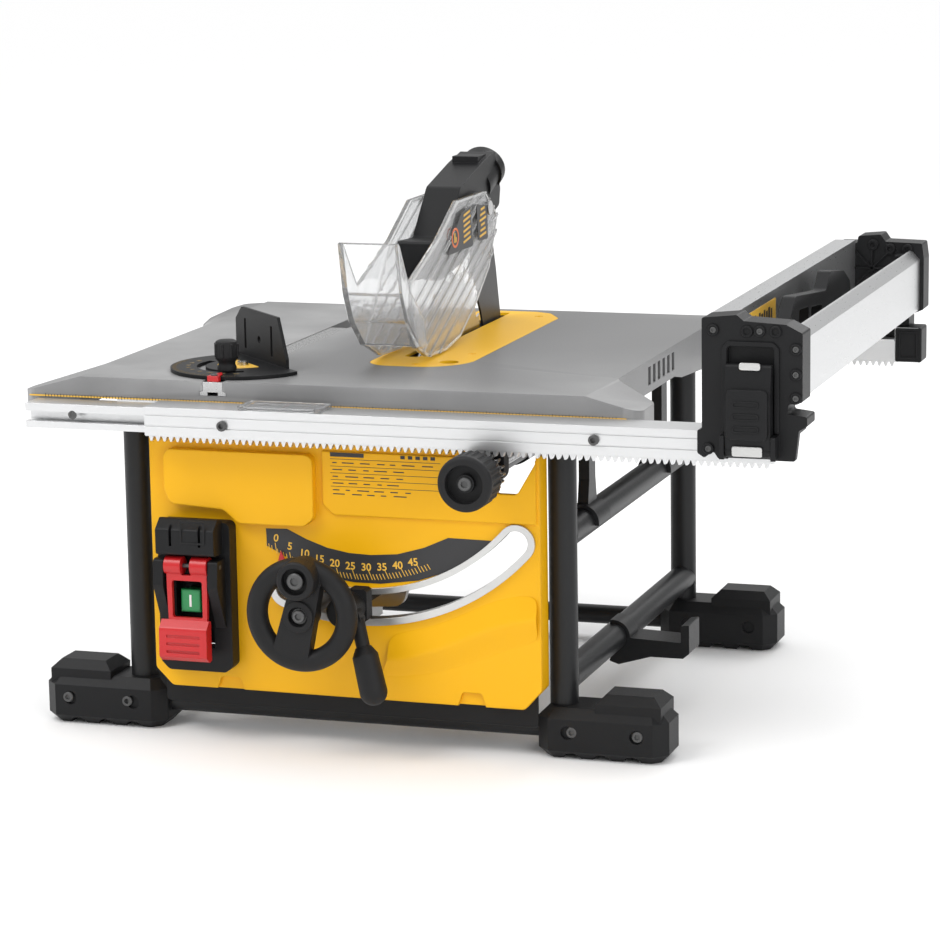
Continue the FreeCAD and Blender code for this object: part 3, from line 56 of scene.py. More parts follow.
TOP = 330.0                           # the table's surface
PIVOT = (28.0, 330.0)                 # bevel axis: X and Z
WHEEL = (-5.7, 135.3)                 # handwheel: X and Z
KNOB = (156.0, 265.0)                 # rip knob: X and Z
SHIELD_LEFT, SHIELD_RIGHT = -6.0, 40.0    # left faces of the two shields, in X
FENCE_INSIDE = 372.0                  # inner face of the fence's left plate, in X
BRACKET_FRONT = -45.9                 # front face of the fence's front bracket, in Y
MITER = (-107.0, 74.0)                # miter pivot: X and Y
MITER_TURN = math.radians(-45)        # the miter head stands turned like this
MITER_FACE = 333.4                    # top of the protractor's disc


def at(x, y, z):
    """A place in the saw's layout, in the frame's metres."""
    return ZERO + Vector((x, y, z)) * MM


# ---- materials ----------------------------------------------------------------------------------
def node(tree, kind, **values):
    """A new shader node of a kind, with its settings."""
    made = tree.nodes.new(kind)
    for key, value in values.items():
        setattr(made, key, value)
    return made


def surface(name, color, rough, metallic=0.0, grain=(900.0, 0.02), mottle=0.06, edge=0.8, wear=None,
            coat=0.0, stretch=(1, 1, 1), specular=0.5):
    """A Principled surface: two close shades in a slow noise, a fine bump, softened edges, worn edges."""
    material = bpy.data.materials.new(name)
    material.use_nodes = True
    tree = material.node_tree
    shader = tree.nodes["Principled BSDF"]
    shader.inputs["Metallic"].default_value = metallic
    shader.inputs["Coat Weight"].default_value = coat
    shader.inputs["Coat Roughness"].default_value = 0.2
    shader.inputs["Specular IOR Level"].default_value = specular
    link = tree.links.new
    where = node(tree, "ShaderNodeTexCoord")
    scaled = node(tree, "ShaderNodeMapping")
    scaled.inputs["Scale"].default_value = stretch
    link(where.outputs["Object"], scaled.inputs["Vector"])
    slow = node(tree, "ShaderNodeTexNoise")
    slow.inputs["Scale"].default_value = 14.0
    slow.inputs["Detail"].default_value = 5.0
    link(scaled.outputs["Vector"], slow.inputs["Vector"])
    shades = node(tree, "ShaderNodeMix", data_type="RGBA")
    shades.inputs["A"].default_value = (*[c * (1 - mottle) for c in color], 1)
    shades.inputs["B"].default_value = (*[min(1.0, c * (1 + mottle)) for c in color], 1)
    link(slow.outputs["Fac"], shades.inputs["Factor"])
    tint = shades.outputs["Result"]
    fine = node(tree, "ShaderNodeTexNoise")
    fine.inputs["Scale"].default_value = grain[0]
    fine.inputs["Detail"].default_value = 3.0
    link(scaled.outputs["Vector"], fine.inputs["Vector"])
    gloss = node(tree, "ShaderNodeMapRange")
    gloss.inputs["To Min"].default_value = max(0.02, rough - 0.07)
    gloss.inputs["To Max"].default_value = min(1.0, rough + 0.07)
    link(fine.outputs["Fac"], gloss.inputs["Value"])
    link(gloss.outputs["Result"], shader.inputs["Roughness"])
    if wear:
        worn = node(tree, "ShaderNodeNewGeometry")
        band = node(tree, "ShaderNodeMapRange")
        band.inputs["From Min"].default_value = 0.56
        band.inputs["From Max"].default_value = 0.66
        link(worn.outputs["Pointiness"], band.inputs["Value"])
        patchy = node(tree, "ShaderNodeMath", operation="MULTIPLY")
        link(band.outputs["Result"], patchy.inputs[0])
        link(slow.outputs["Fac"], patchy.inputs[1])
        rubbed = node(tree, "ShaderNodeMix", data_type="RGBA")
        rubbed.inputs["B"].default_value = (*wear, 1)
        link(patchy.outputs["Value"], rubbed.inputs["Factor"])
        link(tint, rubbed.inputs["A"])
        tint = rubbed.outputs["Result"]
    link(tint, shader.inputs["Base Color"])
    soft = node(tree, "ShaderNodeBevel", samples=4)
    soft.inputs["Radius"].default_value = edge * MM
    bump = node(tree, "ShaderNodeBump")
    bump.inputs["Strength"].default_value = grain[1] * 10
    bump.inputs["Distance"].default_value = 0.0002
    link(fine.outputs["Fac"], bump.inputs["Height"])
    link(soft.outputs["Normal"], bump.inputs["Normal"])
    link(bump.outputs["Normal"], shader.inputs["Normal"])
    material.diffuse_color = (*color, 1)
    return material


def clear_plastic(name="clear_polycarbonate", passes=0.9):
    """Thick clear polycarbonate: mostly passes light, catches highlights at its ribs and edges; with less
    light passing it makes a whiter copy that paints highlights on ribs and rims.
    """
    material = bpy.data.materials.new(name)
    material.use_nodes = True
    tree = material.node_tree
    shader = tree.nodes["Principled BSDF"]
    shader.inputs["Base Color"].default_value = (0.97, 0.975, 0.98, 1)
    shader.inputs["Transmission Weight"].default_value = passes
    shader.inputs["IOR"].default_value = 1.49
    link = tree.links.new
    where = node(tree, "ShaderNodeTexCoord")
    ripple = node(tree, "ShaderNodeTexNoise")
    ripple.inputs["Scale"].default_value = 60.0
    ripple.inputs["Detail"].default_value = 2.0
    link(where.outputs["Object"], ripple.inputs["Vector"])
    haze = node(tree, "ShaderNodeMapRange")
    haze.inputs["To Min"].default_value = 0.02
    haze.inputs["To Max"].default_value = 0.10
    link(ripple.outputs["Fac"], haze.inputs["Value"])
    link(haze.outputs["Result"], shader.inputs["Roughness"])
    soft = node(tree, "ShaderNodeBevel", samples=4)
    soft.inputs["Radius"].default_value = 0.8 * MM
    bump = node(tree, "ShaderNodeBump")
    bump.inputs["Strength"].default_value = 0.35
    bump.inputs["Distance"].default_value = 0.001
    link(ripple.outputs["Fac"], bump.inputs["Height"])
    link(soft.outputs["Normal"], bump.inputs["Normal"])
    link(bump.outputs["Normal"], shader.inputs["Normal"])
    return material


YELLOW = (0.88, 0.452, 0.003)
paint_table = surface("table_coating", (0.160, 0.160, 0.162), 0.42, grain=(700, 0.02), mottle=0.04, edge=1.4,
                      wear=(0.5, 0.5, 0.5), coat=0.15)
paint_tube = surface("tube_powder_coat", (0.0135, 0.014, 0.015), 0.4, grain=(500, 0.05), edge=0.6,
                     specular=0.3)
moulded = surface("moulded_black", (0.0095, 0.0097, 0.0105), 0.44, grain=(1200, 0.06), mottle=0.12, edge=0.9,
                  specular=0.22)
moulded_soft = surface("grip_black", (0.012, 0.012, 0.0127), 0.5, grain=(1600, 0.08), mottle=0.15, edge=1.0,
                       specular=0.24)
yellow_panel = surface("panel_yellow", YELLOW, 0.38, grain=(900, 0.04), mottle=0.03, edge=2.0, specular=0.3)
yellow_plate = surface("throat_yellow", (0.90, 0.50, 0.008), 0.42, grain=(500, 0.03), mottle=0.04, edge=0.8,
                       specular=0.3)
aluminium = surface("anodised_aluminium", (0.73, 0.735, 0.74), 0.34, metallic=0.85, grain=(1400, 0.03),
                    mottle=0.05, edge=0.5, stretch=(0.06, 1, 1))
# The fence's plates take a darker copy of the rails' aluminium: painted shade for the greyer reflection on
# their tall sides.
shaded_fence_metal = surface("fence_aluminium_painted_shade", (0.60, 0.605, 0.61), 0.30, metallic=0.85, grain=(1500, 0.03),
                      mottle=0.05, edge=0.7, stretch=(1, 0.05, 1))
zinc = surface("zinc_plate", (0.62, 0.62, 0.61), 0.33, metallic=0.95, grain=(700, 0.06), mottle=0.22,
               edge=0.7)
steel = surface("bare_steel", (0.52, 0.52, 0.52), 0.28, metallic=1.0, grain=(900, 0.03), mottle=0.1, edge=0.5)
dark_steel = surface("dark_steel", (0.10, 0.10, 0.10), 0.42, metallic=0.6, grain=(900, 0.05), mottle=0.25,
                     edge=0.4)
blackened = surface("blackened_steel", (0.022, 0.022, 0.023), 0.42, metallic=0.3, mottle=0.2, edge=0.4)
cast = surface("cast_iron", (0.12, 0.12, 0.122), 0.6, metallic=0.4, grain=(350, 0.12), mottle=0.15, edge=1.2)
blade_steel = surface("blade_steel", (0.5, 0.5, 0.5), 0.24, metallic=1.0, grain=(900, 0.03), mottle=0.12,
                      edge=0.2)
red = surface("switch_red", (0.52, 0.010, 0.013), 0.34, grain=(900, 0.03), mottle=0.05, edge=0.8, coat=0.1)
green = surface("switch_green", (0.012, 0.27, 0.075), 0.3, grain=(900, 0.02), mottle=0.05, edge=1.0,
                coat=0.15)
white_ink = surface("white_marking", (0.85, 0.85, 0.83), 0.5, mottle=0.02, edge=0.1)
yellow_ink = surface("yellow_marking", (0.85, 0.50, 0.06), 0.5, mottle=0.03, edge=0.1)
faded_ink = surface("faded_marking", (0.20, 0.15, 0.08), 0.55, mottle=0.1, edge=0.1)
black_ink = surface("dark_marking", (0.03, 0.03, 0.03), 0.5, mottle=0.05, edge=0.1)
label_grey = surface("label_grey", (0.028, 0.028, 0.03), 0.45, mottle=0.08, edge=0.2)
orange_ink = surface("orange_marking", (0.80, 0.16, 0.02), 0.45, mottle=0.03, edge=0.1)
clear = clear_plastic()
# A whiter, less clear copy of the polycarbonate for the shields' rims and ribs: painted highlight standing for
# their glints.
clear_edge_painted_highlight = clear_plastic("polycarbonate_edges_painted_highlight", 0.55)

NODE_MATERIAL = {
    "table_top": paint_table, "upright_tubes": paint_tube, "frame_cross_members": paint_tube,
    "feet": moulded,
    "throat_plate": yellow_plate, "front_fixed_rail": aluminium, "rear_fixed_rail": aluminium,
    "front_moving_rail": aluminium, "rear_moving_rail": aluminium, "front_panel": yellow_panel,
    "bevel_slot_rim": zinc, "switch_housing": moulded, "paddle_pin": dark_steel, "storage_bracket": paint_tube,
    "saddle_brackets": paint_tube, "trunnion_brackets": cast, "pinion_shaft_brackets": moulded,
    "front_tilt_plate": zinc, "rear_tilt_plate": zinc, "tilt_tie_bars": steel, "guide_rods": steel,
    "bevel_lock_lever": moulded_soft, "handwheel": moulded_soft, "handwheel_shaft": dark_steel,
    "crank_grip": moulded_soft, "lift_screw": steel, "lift_carriage": cast, "blade_shroud": moulded,
    "motor_housing": moulded, "arbor_bearings": steel, "riving_knife": blackened, "guard_arm": moulded,
    "rotor_shaft": steel, "arbor_shaft": steel, "saw_blade": blade_steel, "blade_flanges": steel,
    "arbor_nut": steel, "guard_pivot_pin": steel, "left_shield_bush": moulded, "left_guard_shield": clear,
    "right_guard_shield": clear, "fence_left_plate": shaded_fence_metal, "fence_right_plate": shaded_fence_metal,
    "fence_front_bracket": moulded, "fence_rear_bracket": moulded, "front_latch": moulded,
    "rear_latch": moulded, "push_stick": moulded, "start_button": green, "stop_paddle": red,
    "rip_knob": moulded_soft, "pinion_shaft": steel, "miter_bar": steel, "miter_head": moulded,
    "miter_knob": moulded_soft,
}
for name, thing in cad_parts.items():
    material = NODE_MATERIAL.get(name, moulded)
    thing.data.materials.clear()
    thing.data.materials.append(material)

# ---- piece building -----------------------------------------------------------------------------
def piece(name, mesh, body, material, smooth=False):
    """A mesh as a visible piece that rides on a body."""
    thing = bpy.data.objects.new(name, mesh)
    bpy.context.collection.objects.link(thing)
    mesh.materials.append(material)
    if smooth:
        for face in mesh.polygons:
            face.use_smooth = True
    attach(thing, body)
    return thing


def finished(bm, name):
    """The named mesh that a bmesh makes, with its faces turned outwards."""
    bmesh.ops.recalc_face_normals(bm, faces=bm.faces)
    mesh = bpy.data.meshes.new(name)
    bm.to_mesh(mesh)
    bm.free()
    return mesh


def place(plane, u, v, w):
    """Plane 'x' takes (y, z), 'y' takes (x, z) and 'z' takes (x, y); w is the height off the plane."""
    return at(w, u, v) if plane == "x" else at(u, w, v) if plane == "y" else at(u, v, w)


def round_corners(points, radius, steps=4):
    """The outline with each corner replaced by a short arc."""
    if radius <= 0:
        return [tuple(p[:2]) for p in points]
    out = []
    n = len(points)
    for i, here in enumerate(points):
        own = here[2] if len(here) > 2 else radius
        spot, back, ahead = Vector(here[:2]), Vector(points[i - 1][:2]), Vector(points[(i + 1) % n][:2])
        a, b = back - spot, ahead - spot
        angle = a.angle(b)
        if own <= 0 or angle > math.radians(176):
            out.append(tuple(spot))
            continue
        reach = min(own / math.tan(angle / 2), 0.48 * a.length, 0.48 * b.length)
        start, end = spot + a.normalized() * reach, spot + b.normalized() * reach
        for k in range(steps + 1):
            t = k / steps
            p = start * (1 - t) ** 2 + spot * 2 * t * (1 - t) + end * t * t
            out.append((p.x, p.y))
    return out


def plate(name, plane, outline, low, high, body, material, slot=None, radius=0.0, bevel=0.0, holes=()):
    """A flat piece with an outline, standing between two heights; holes are inner outlines."""
    outer = round_corners(outline, radius)
    rings = [outer] + [round_corners(h, 0.0) for h in holes]
    bm = bmesh.new()
    edges = []
    for loop in rings:
        corners = [bm.verts.new(place(plane, u, v, low)) for u, v in loop]
        edges += [bm.edges.new((corners[i - 1], corners[i])) for i in range(len(corners))]
    if holes:
        made = bmesh.ops.triangle_fill(bm, use_beauty=True, use_dissolve=True, edges=edges)
        faces = [f for f in made["geom"] if isinstance(f, bmesh.types.BMFace)]
    else:
        faces = [bm.faces.new(list(bm.verts))]
    raised = bmesh.ops.extrude_face_region(bm, geom=faces)
    shift = place(plane, 0, 0, high) - place(plane, 0, 0, low)
    bmesh.ops.translate(bm, vec=shift, verts=[g for g in raised["geom"] if isinstance(g, bmesh.types.BMVert)])
    thing = piece(name, finished(bm, name), body, material)
    if bevel:
        soften(thing, bevel)
    return thing


def soften(thing, width):
    """A small rounding, given in millimetres, on every edge sharper than 35 degrees."""
    rounding = thing.modifiers.new("rounding", "BEVEL")
    rounding.width, rounding.segments, rounding.limit_method = width * MM, 2, "ANGLE"
    rounding.angle_limit = math.radians(35)
    rounding.harden_normals = False


def turned(name, base, axis, profile, body, material, steps=40):
    """A turned piece: profile is (distance along the axis, radius), from the base outwards."""
    axis = Vector(axis).normalized()
    side = axis.orthogonal().normalized()
    other = axis.cross(side)
    bm = bmesh.new()
    loops = []
    for along, radius in profile:
        if radius < 1e-6:
            loops.append([bm.verts.new(at(*(Vector(base) + axis * along)))])
            continue
        loop = []
        for k in range(steps):
            a = 2 * math.pi * k / steps
            spot = Vector(base) + axis * along + (side * math.cos(a) + other * math.sin(a)) * radius
            loop.append(bm.verts.new(at(*spot)))
        loops.append(loop)
    for one, two in zip(loops, loops[1:]):
        for k in range(steps):
            m = (k + 1) % steps
            ring = [one[k % len(one)], one[m % len(one)], two[m % len(two)], two[k % len(two)]]
            corners = list(dict.fromkeys(ring))
            if len(corners) > 2:
                bm.faces.new(corners)
    for loop in (loops[0], loops[-1]):
        if len(loop) > 2:
            bm.faces.new(loop)
    mesh = finished(bm, name)
    thing = piece(name, mesh, body, material)
    for face in mesh.polygons:
        face.use_smooth = len(face.vertices) == 4
    mesh.set_sharp_from_angle(angle=math.radians(40))
    return thing


def cap_screw(name, base, axis, body, radius, height, material=dark_steel):
    """A socket-head screw: a domed rim round a sunk round recess."""
    profile = [(0, radius), (height * 0.7, radius), (height, radius * 0.86), (height, radius * 0.5),
               (height * 0.35, radius * 0.46), (height * 0.35, 0)]
    turned(name, base, axis, profile, body, material, steps=24)


def lettering(name, words, plane, u, v, height, size, turn, body, material):
    """Raised figures, centred at (u, v), turned in their plane; only numbers are drawn."""
    data = bpy.data.curves.new(name, "FONT")
    data.body, data.size, data.extrude = words, size * MM, 0.00012
    data.offset = 0.00016
    data.align_x, data.align_y = "CENTER", "CENTER"
    data.resolution_u = 4
    data.materials.append(material)
    thing = bpy.data.objects.new(name, data)
    bpy.context.collection.objects.link(thing)
    if plane == "y":
        base = Matrix(((1, 0, 0), (0, 0, -1), (0, 1, 0))).to_4x4()
    else:
        base = Matrix.Identity(4)
    thing.matrix_world = Matrix.Translation(place(plane, u, v, height)) @ base @ Matrix.Rotation(turn, 4, "Z")
    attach(thing, body)


def bars(name, plane, boxes, low, high, body, material):
    """Many thin marks in one piece: each is (u, v, length, width, turn in degrees)."""
    bm = bmesh.new()
    for u, v, length, width, turn in boxes:
        a = math.radians(turn)
        along, across = Vector((math.cos(a), math.sin(a))), Vector((-math.sin(a), math.cos(a)))
        corners = []
        for s, t in ((-0.5, -0.5), (0.5, -0.5), (0.5, 0.5), (-0.5, 0.5)):
            p = Vector((u, v)) + along * length * s + across * width * t
            corners.append(p)
        bottom = [bm.verts.new(place(plane, p.x, p.y, low)) for p in corners]
        top = [bm.verts.new(place(plane, p.x, p.y, high)) for p in corners]
        bm.faces.new(bottom)
        bm.faces.new(top)
        for k in range(4):
            bm.faces.new((bottom[k - 1], bottom[k], top[k], top[k - 1]))
    piece(name, finished(bm, name), body, material)


# ---- front panel --------------------------------------------------------------------------------
MARK_ZERO, MARK_STEP, MARK_RADIUS = -28.0, 1.045, 174.5           # degrees, degrees for each degree, mm
FIGURE_ZERO, FIGURE_STEP, FIGURE_RADIUS = -29.4, 1.05, 161.5


def make_bevel_scale():
    """A dark printed plate above the bevel slot, with degree marks, figures and a red pointer."""
    outline = [
        (-60.9, 197.8), (-40.8, 198.4), (-22.6, 190), (-2.4, 183), (17.9, 179.4), (38.1, 178.6),
        (63.4, 180.6), (88.6, 187.8), (111.2, 197.9), (151.3, 197.4),
        (133.3, 180), (108.2, 166.6), (83, 157.9), (47.7, 153),
        (22.3, 153), (-3.9, 156.5), (-32, 167), (-48, 176), (-60.1, 181.9)]
    plate("bevel_scale_plate", "y", outline, 3.6, 4.3, "frame", label_grey, "black_plastic")
    marks = []
    for degree in range(-3, 49):
        a = math.radians(MARK_ZERO + MARK_STEP * degree)
        long = 9.8 if degree == 0 else 8.5 if degree % 5 == 0 else 5.5
        radius = MARK_RADIUS - long / 2
        u, v = PIVOT[0] + radius * math.sin(a), PIVOT[1] - radius * math.cos(a)
        marks.append((u, v, long, 0.65, 8 + 0.5 * degree - 90))
    bars("bevel_scale_marks", "y", marks, 3.4, 3.6, "frame", yellow_ink)
    for degree in range(0, 50, 5):
        a = math.radians(FIGURE_ZERO + FIGURE_STEP * degree)
        radius = FIGURE_RADIUS + 0.05 * degree
        u, v = PIVOT[0] + radius * math.sin(a), PIVOT[1] - radius * math.cos(a)
        lettering(f"bevel_scale_{degree}", str(degree), "y", u, v, 3.5, 9.6, a * 0.3, "frame", yellow_ink)
    plate("bevel_pointer", "y", [(-46.3, 178.8), (-49.5, 167.5), (-42.2, 170.3)], 1.0, 2.0, "tilt_frame", red,
          "red_plastic", bevel=0.3)


def make_rating_plate():
    """A generic printed area: ruled lines and plain blocks, no lettering."""
    left, right = 3.0, 105.8
    rules = (264.7, 258.2, 252.1, 246.0, 240.0)
    marks = [((left + right) / 2, z, right - left, 0.35, 0) for z in rules]
    marks.append((left + 15.8, 268.7, 31.6, 3.8, 0))
    for row, z in enumerate((261.4, 255.2, 249.0, 243.0, 236.8, 233.2)):
        x = left + 2
        for k in range(7 - row % 3):
            long = 4 + (k * 7 + row * 5) % 9
            if x + long < right - (row % 2) * 30:
                marks.append((x + long / 2, z, long, 0.9, 0))
            x += long + 5 + (row + k) % 3
    for k in range(5):
        marks.append((left + 68 + 7 * k, 268.7, 4.2, 3.0, 0))
    bars("rating_marks", "y", marks, 1.3, 1.5, "frame", black_ink)


def make_panel_waves():
    """The low moulded swell across the panel's lower right corner."""
    upper = [(53.7, 85), (84.1, 91.9), (109.4, 100.8), (134.6, 113.3), (159.5, 124.6), (192.9, 130.2)]
    lower = [(45.7, 67.2), (83.7, 71), (109, 77.5), (134.1, 86.5), (159.2, 97.8), (192.6, 108.4)]
    bm = bmesh.new()
    rows = []
    for (xu, zu), (xl, zl) in zip(upper, lower):
        rows.append([(xl, zl, 4.05), (xl + (xu - xl) * 0.35, zl + (zu - zl) * 0.35, 2.6),
                     (xl + (xu - xl) * 0.8, zl + (zu - zl) * 0.8, -0.9), (xu, zu, -1.5), (xu, zu + 7, 0.4),
                     (xu, zu + 22, 4.05)])
    grid = [[bm.verts.new(at(x, y, z)) for x, z, y in row] for row in rows]
    for one, two in zip(grid, grid[1:]):
        for k in range(len(one) - 1):
            bm.faces.new((one[k], one[k + 1], two[k + 1], two[k]))
    thing = piece("panel_wave", finished(bm, "panel_wave"), "frame", yellow_panel, smooth=True)
    smoothing = thing.modifiers.new("smooth", "SUBSURF")
    smoothing.levels = smoothing.render_levels = 2


def make_switch_details():
    """The plain bar on the start button and a generic square badge on the switch hood."""
    bars("start_bar", "y", [(-126.5, 132.5, 2.0, 11.0, 0)], -19.4, -19.0, "start", white_ink)
    edge = [(-129, 187.5), (-105, 187.5), (-105, 209), (-129, 209)]
    inner = [(-127.2, 189.3), (-106.8, 189.3), (-106.8, 207.2), (-127.2, 207.2)]
    plate("switch_badge", "y", edge, -33.6, -33.2, "frame", moulded_soft, "black_plastic", radius=2.0,
          holes=[inner])


# ---- rails and table ----------------------------------------------------------------------------
BRACKET_BOSSES = ((364, 399), (393, 398.5), (403.8, 399), (417.3, 399), (434.5, 384.7), (434.5, 363.4),
                  (434.5, 343.5), (359.8, 298.2))
NO_SCREW = ((393, 398.5), (417.3, 399))


def make_rail_scale():
    """Printed scale on the front edge of the fixed rail's top, beside the table."""
    plate("rail_scale_strip", "y", [(-286, 311.0), (276, 311.0), (276, 312.2), (-286, 312.2)], -1.2, -0.4,
          "frame", yellow_ink, "rail")
    marks = []
    for k in range(180):
        x = -270 + 3 * k
        marks.append((x, 312.0, 0.5, 2.2 if k % 5 else 3.2, 0))
    bars("rail_scale_marks", "y", marks, -1.35, -1.2, "frame", black_ink)


def make_fasteners():
    """Screw heads, all round the saw."""
    for k, (x, z) in enumerate(((-83, 297.5), (257.6, 299.7))):
        cap_screw(f"rail_screw_{k}", (x, -37.9, z), (0, -1, 0), "rip_carrier", 4.6, 4.0)
    cap_screw("fixed_rail_screw", (-231.4, -28.4, 300), (0, -1, 0), "frame", 4.2, 0.65)
    for k, x in enumerate((-266.4, -207, 219.8, 280)):
        for m, (y, way) in enumerate(((15.2, -1), (490.8, 1))):
            cap_screw(f"foot_screw_{k}_{m}", (x, y, 25.5), (0, way, 0), "frame", 5.0, 2.6)
    screwed = [boss for boss in BRACKET_BOSSES if boss not in NO_SCREW]
    for k, (x, z) in enumerate(screwed):
        cap_screw(f"bracket_screw_{k}", (x, BRACKET_FRONT - 0.5, z), (0, -1, 0), "rip_carrier", 2.9, 1.4)
    cap_screw("wheel_screw", (WHEEL[0], -61.9, WHEEL[1]), (0, -1, 0), "wheel", 6.0, 3.0)
    cap_screw("crank_screw", (-2.65, -76.8, 170.2), (0, -1, 0), "wheel", 7.5, 3.2)
    cap_screw("knob_screw", (KNOB[0], -81.8, KNOB[1]), (0, -1, 0), "rip_drive", 6.0, 3.0)
    for k, (x, y) in enumerate(((40, 132), (72, 200), (64, 440))):
        cap_screw(f"throat_screw_{k}", (x, y, TOP - 1.2), (0, 0, 1), "frame", 3.6, 1.0, yellow_plate)


def make_rail_cursor():
    """The clear reading window on the moving rail's top, in a thin frame."""
    frame_outline = [(-70, -37.5), (9, -37.5), (9, -3.5), (-70, -3.5)]
    inner = [(-64, -34), (2, -34), (2, -7), (-64, -7)]
    plate("cursor_frame", "z", frame_outline, 311.9, 315.5, "rip_carrier", clear, "clear", radius=5,
          bevel=0.8, holes=[inner])
    plate("cursor_window", "z", inner, 311.9, 314.0, "rip_carrier", clear, "clear", bevel=0.5)
    bars("cursor_line", "z", [(-31, -20, 0.8, 26, 0)], 311.75, 311.9, "rip_carrier", red)


# ---- guard --------------------------------------------------------------------------------------
SHIELD_OUTLINE = [
    (120, 347), (156, 333), (208, 331.3), (250, 337.5), (298, 361), (343, 392), (361, 422), (371, 440),
    (332, 467), (247, 467), (187, 436.5)]
RIB_SLOPE = 0.445


def clip_to_outline(outline, slope, lift):
    """Where the line z = lift + slope * y runs inside an outline; pairs of ends."""
    cuts = []
    for i, here in enumerate(outline):
        back = outline[i - 1]
        one = back[1] - lift - slope * back[0]
        two = here[1] - lift - slope * here[0]
        if one * two < 0:
            t = one / (one - two)
            cuts.append(back[0] + (here[0] - back[0]) * t)
    cuts.sort()
    return list(zip(cuts[::2], cuts[1::2]))


def band(outline, width):
    """An inner outline, shrunk towards the middle by about the width."""
    n = len(outline)
    middle = Vector((sum(p[0] for p in outline) / n, sum(p[1] for p in outline) / n))
    out = []
    for i, here in enumerate(outline):
        back, ahead = Vector(outline[i - 1]), Vector(outline[(i + 1) % n])
        spot = Vector(here)
        along = (ahead - back).normalized()
        inward = Vector((-along.y, along.x))
        if inward.dot(middle - spot) < 0:
            inward = -inward
        out.append(tuple(spot + inward * width))
    return out


def make_guard_details():
    """Rims and slanting ribs moulded on the clear shields, in the whiter copy of the polycarbonate that paints
    their highlights, with plain coloured patches.
    """
    right = round_corners(SHIELD_OUTLINE + [(108, 408), (106, 377)], 9)
    # The rim takes the whiter clear material: painted highlight along its edge.
    plate("right_shield_rim", "x", right, SHIELD_RIGHT + 3, SHIELD_RIGHT + 4.6, "right_shield", clear_edge_painted_highlight,
          "clear", bevel=0.3, holes=[band(right, 2.6)])
    first = [(251, 455), (279.5, 458.6), (287, 420), (208.5, 420)]
    second = [(298, 458), (331.6, 453), (332.5, 421), (303.5, 422.4)]
    label, ink = SHIELD_RIGHT + 6.25, SHIELD_RIGHT + 6.5
    for k, shape in enumerate((first, second)):
        plate(f"guard_label_{k}", "x", shape, label, label + 0.25, "right_shield", label_grey,
              "black_plastic", radius=2)
    turns = [k * math.pi / 12 for k in range(24)]
    ring = [(232.5 + 10.5 * math.sin(a), 434 + 9.5 * math.cos(a)) for a in turns]
    hole = [(232.5 + 8 * math.sin(a), 434 + 7.2 * math.cos(a)) for a in turns]
    plate("guard_label_ring", "x", ring, ink, ink + 0.2, "right_shield", orange_ink, "red_plastic",
          holes=[hole])
    patches = [(268, 428 + 5 * k, 22 - 3 * (k % 2), 2.2, 8) for k in range(6)]
    patches += [(231, 434, 3, 9, 0), (235, 432, 2, 5, 0)]
    patches += [(317, 427 + 5 * k, 20 - 4 * (k % 3), 2.2, 6) for k in range(6)]
    bars("guard_label_marks", "x", patches, ink, ink + 0.2, "right_shield", yellow_ink)
    marks = []
    tilt = math.atan(RIB_SLOPE)
    for k in range(9):
        lift = 256 + 17 * k
        for low, high in clip_to_outline(SHIELD_OUTLINE, RIB_SLOPE, lift):
            low, high = low + 4, high - 4
            if high - low > 12:
                middle = (low + high) / 2
                marks.append((middle, lift + RIB_SLOPE * middle, (high - low) / math.cos(tilt), 2.4,
                              math.degrees(tilt)))
    inside = SHIELD_LEFT + 4
    # The ribs and the left rim take the whiter clear material: painted highlight on each rib.
    bars("left_shield_ribs", "x", marks, inside, inside + 1.2, "left_shield", clear_edge_painted_highlight)
    left = round_corners(SHIELD_OUTLINE + [(111, 349.5)], 6)
    plate("left_shield_rim", "x", left, inside, inside + 1.4, "left_shield", clear_edge_painted_highlight, "clear",
          bevel=0.3, holes=[band(left, 2.6)])


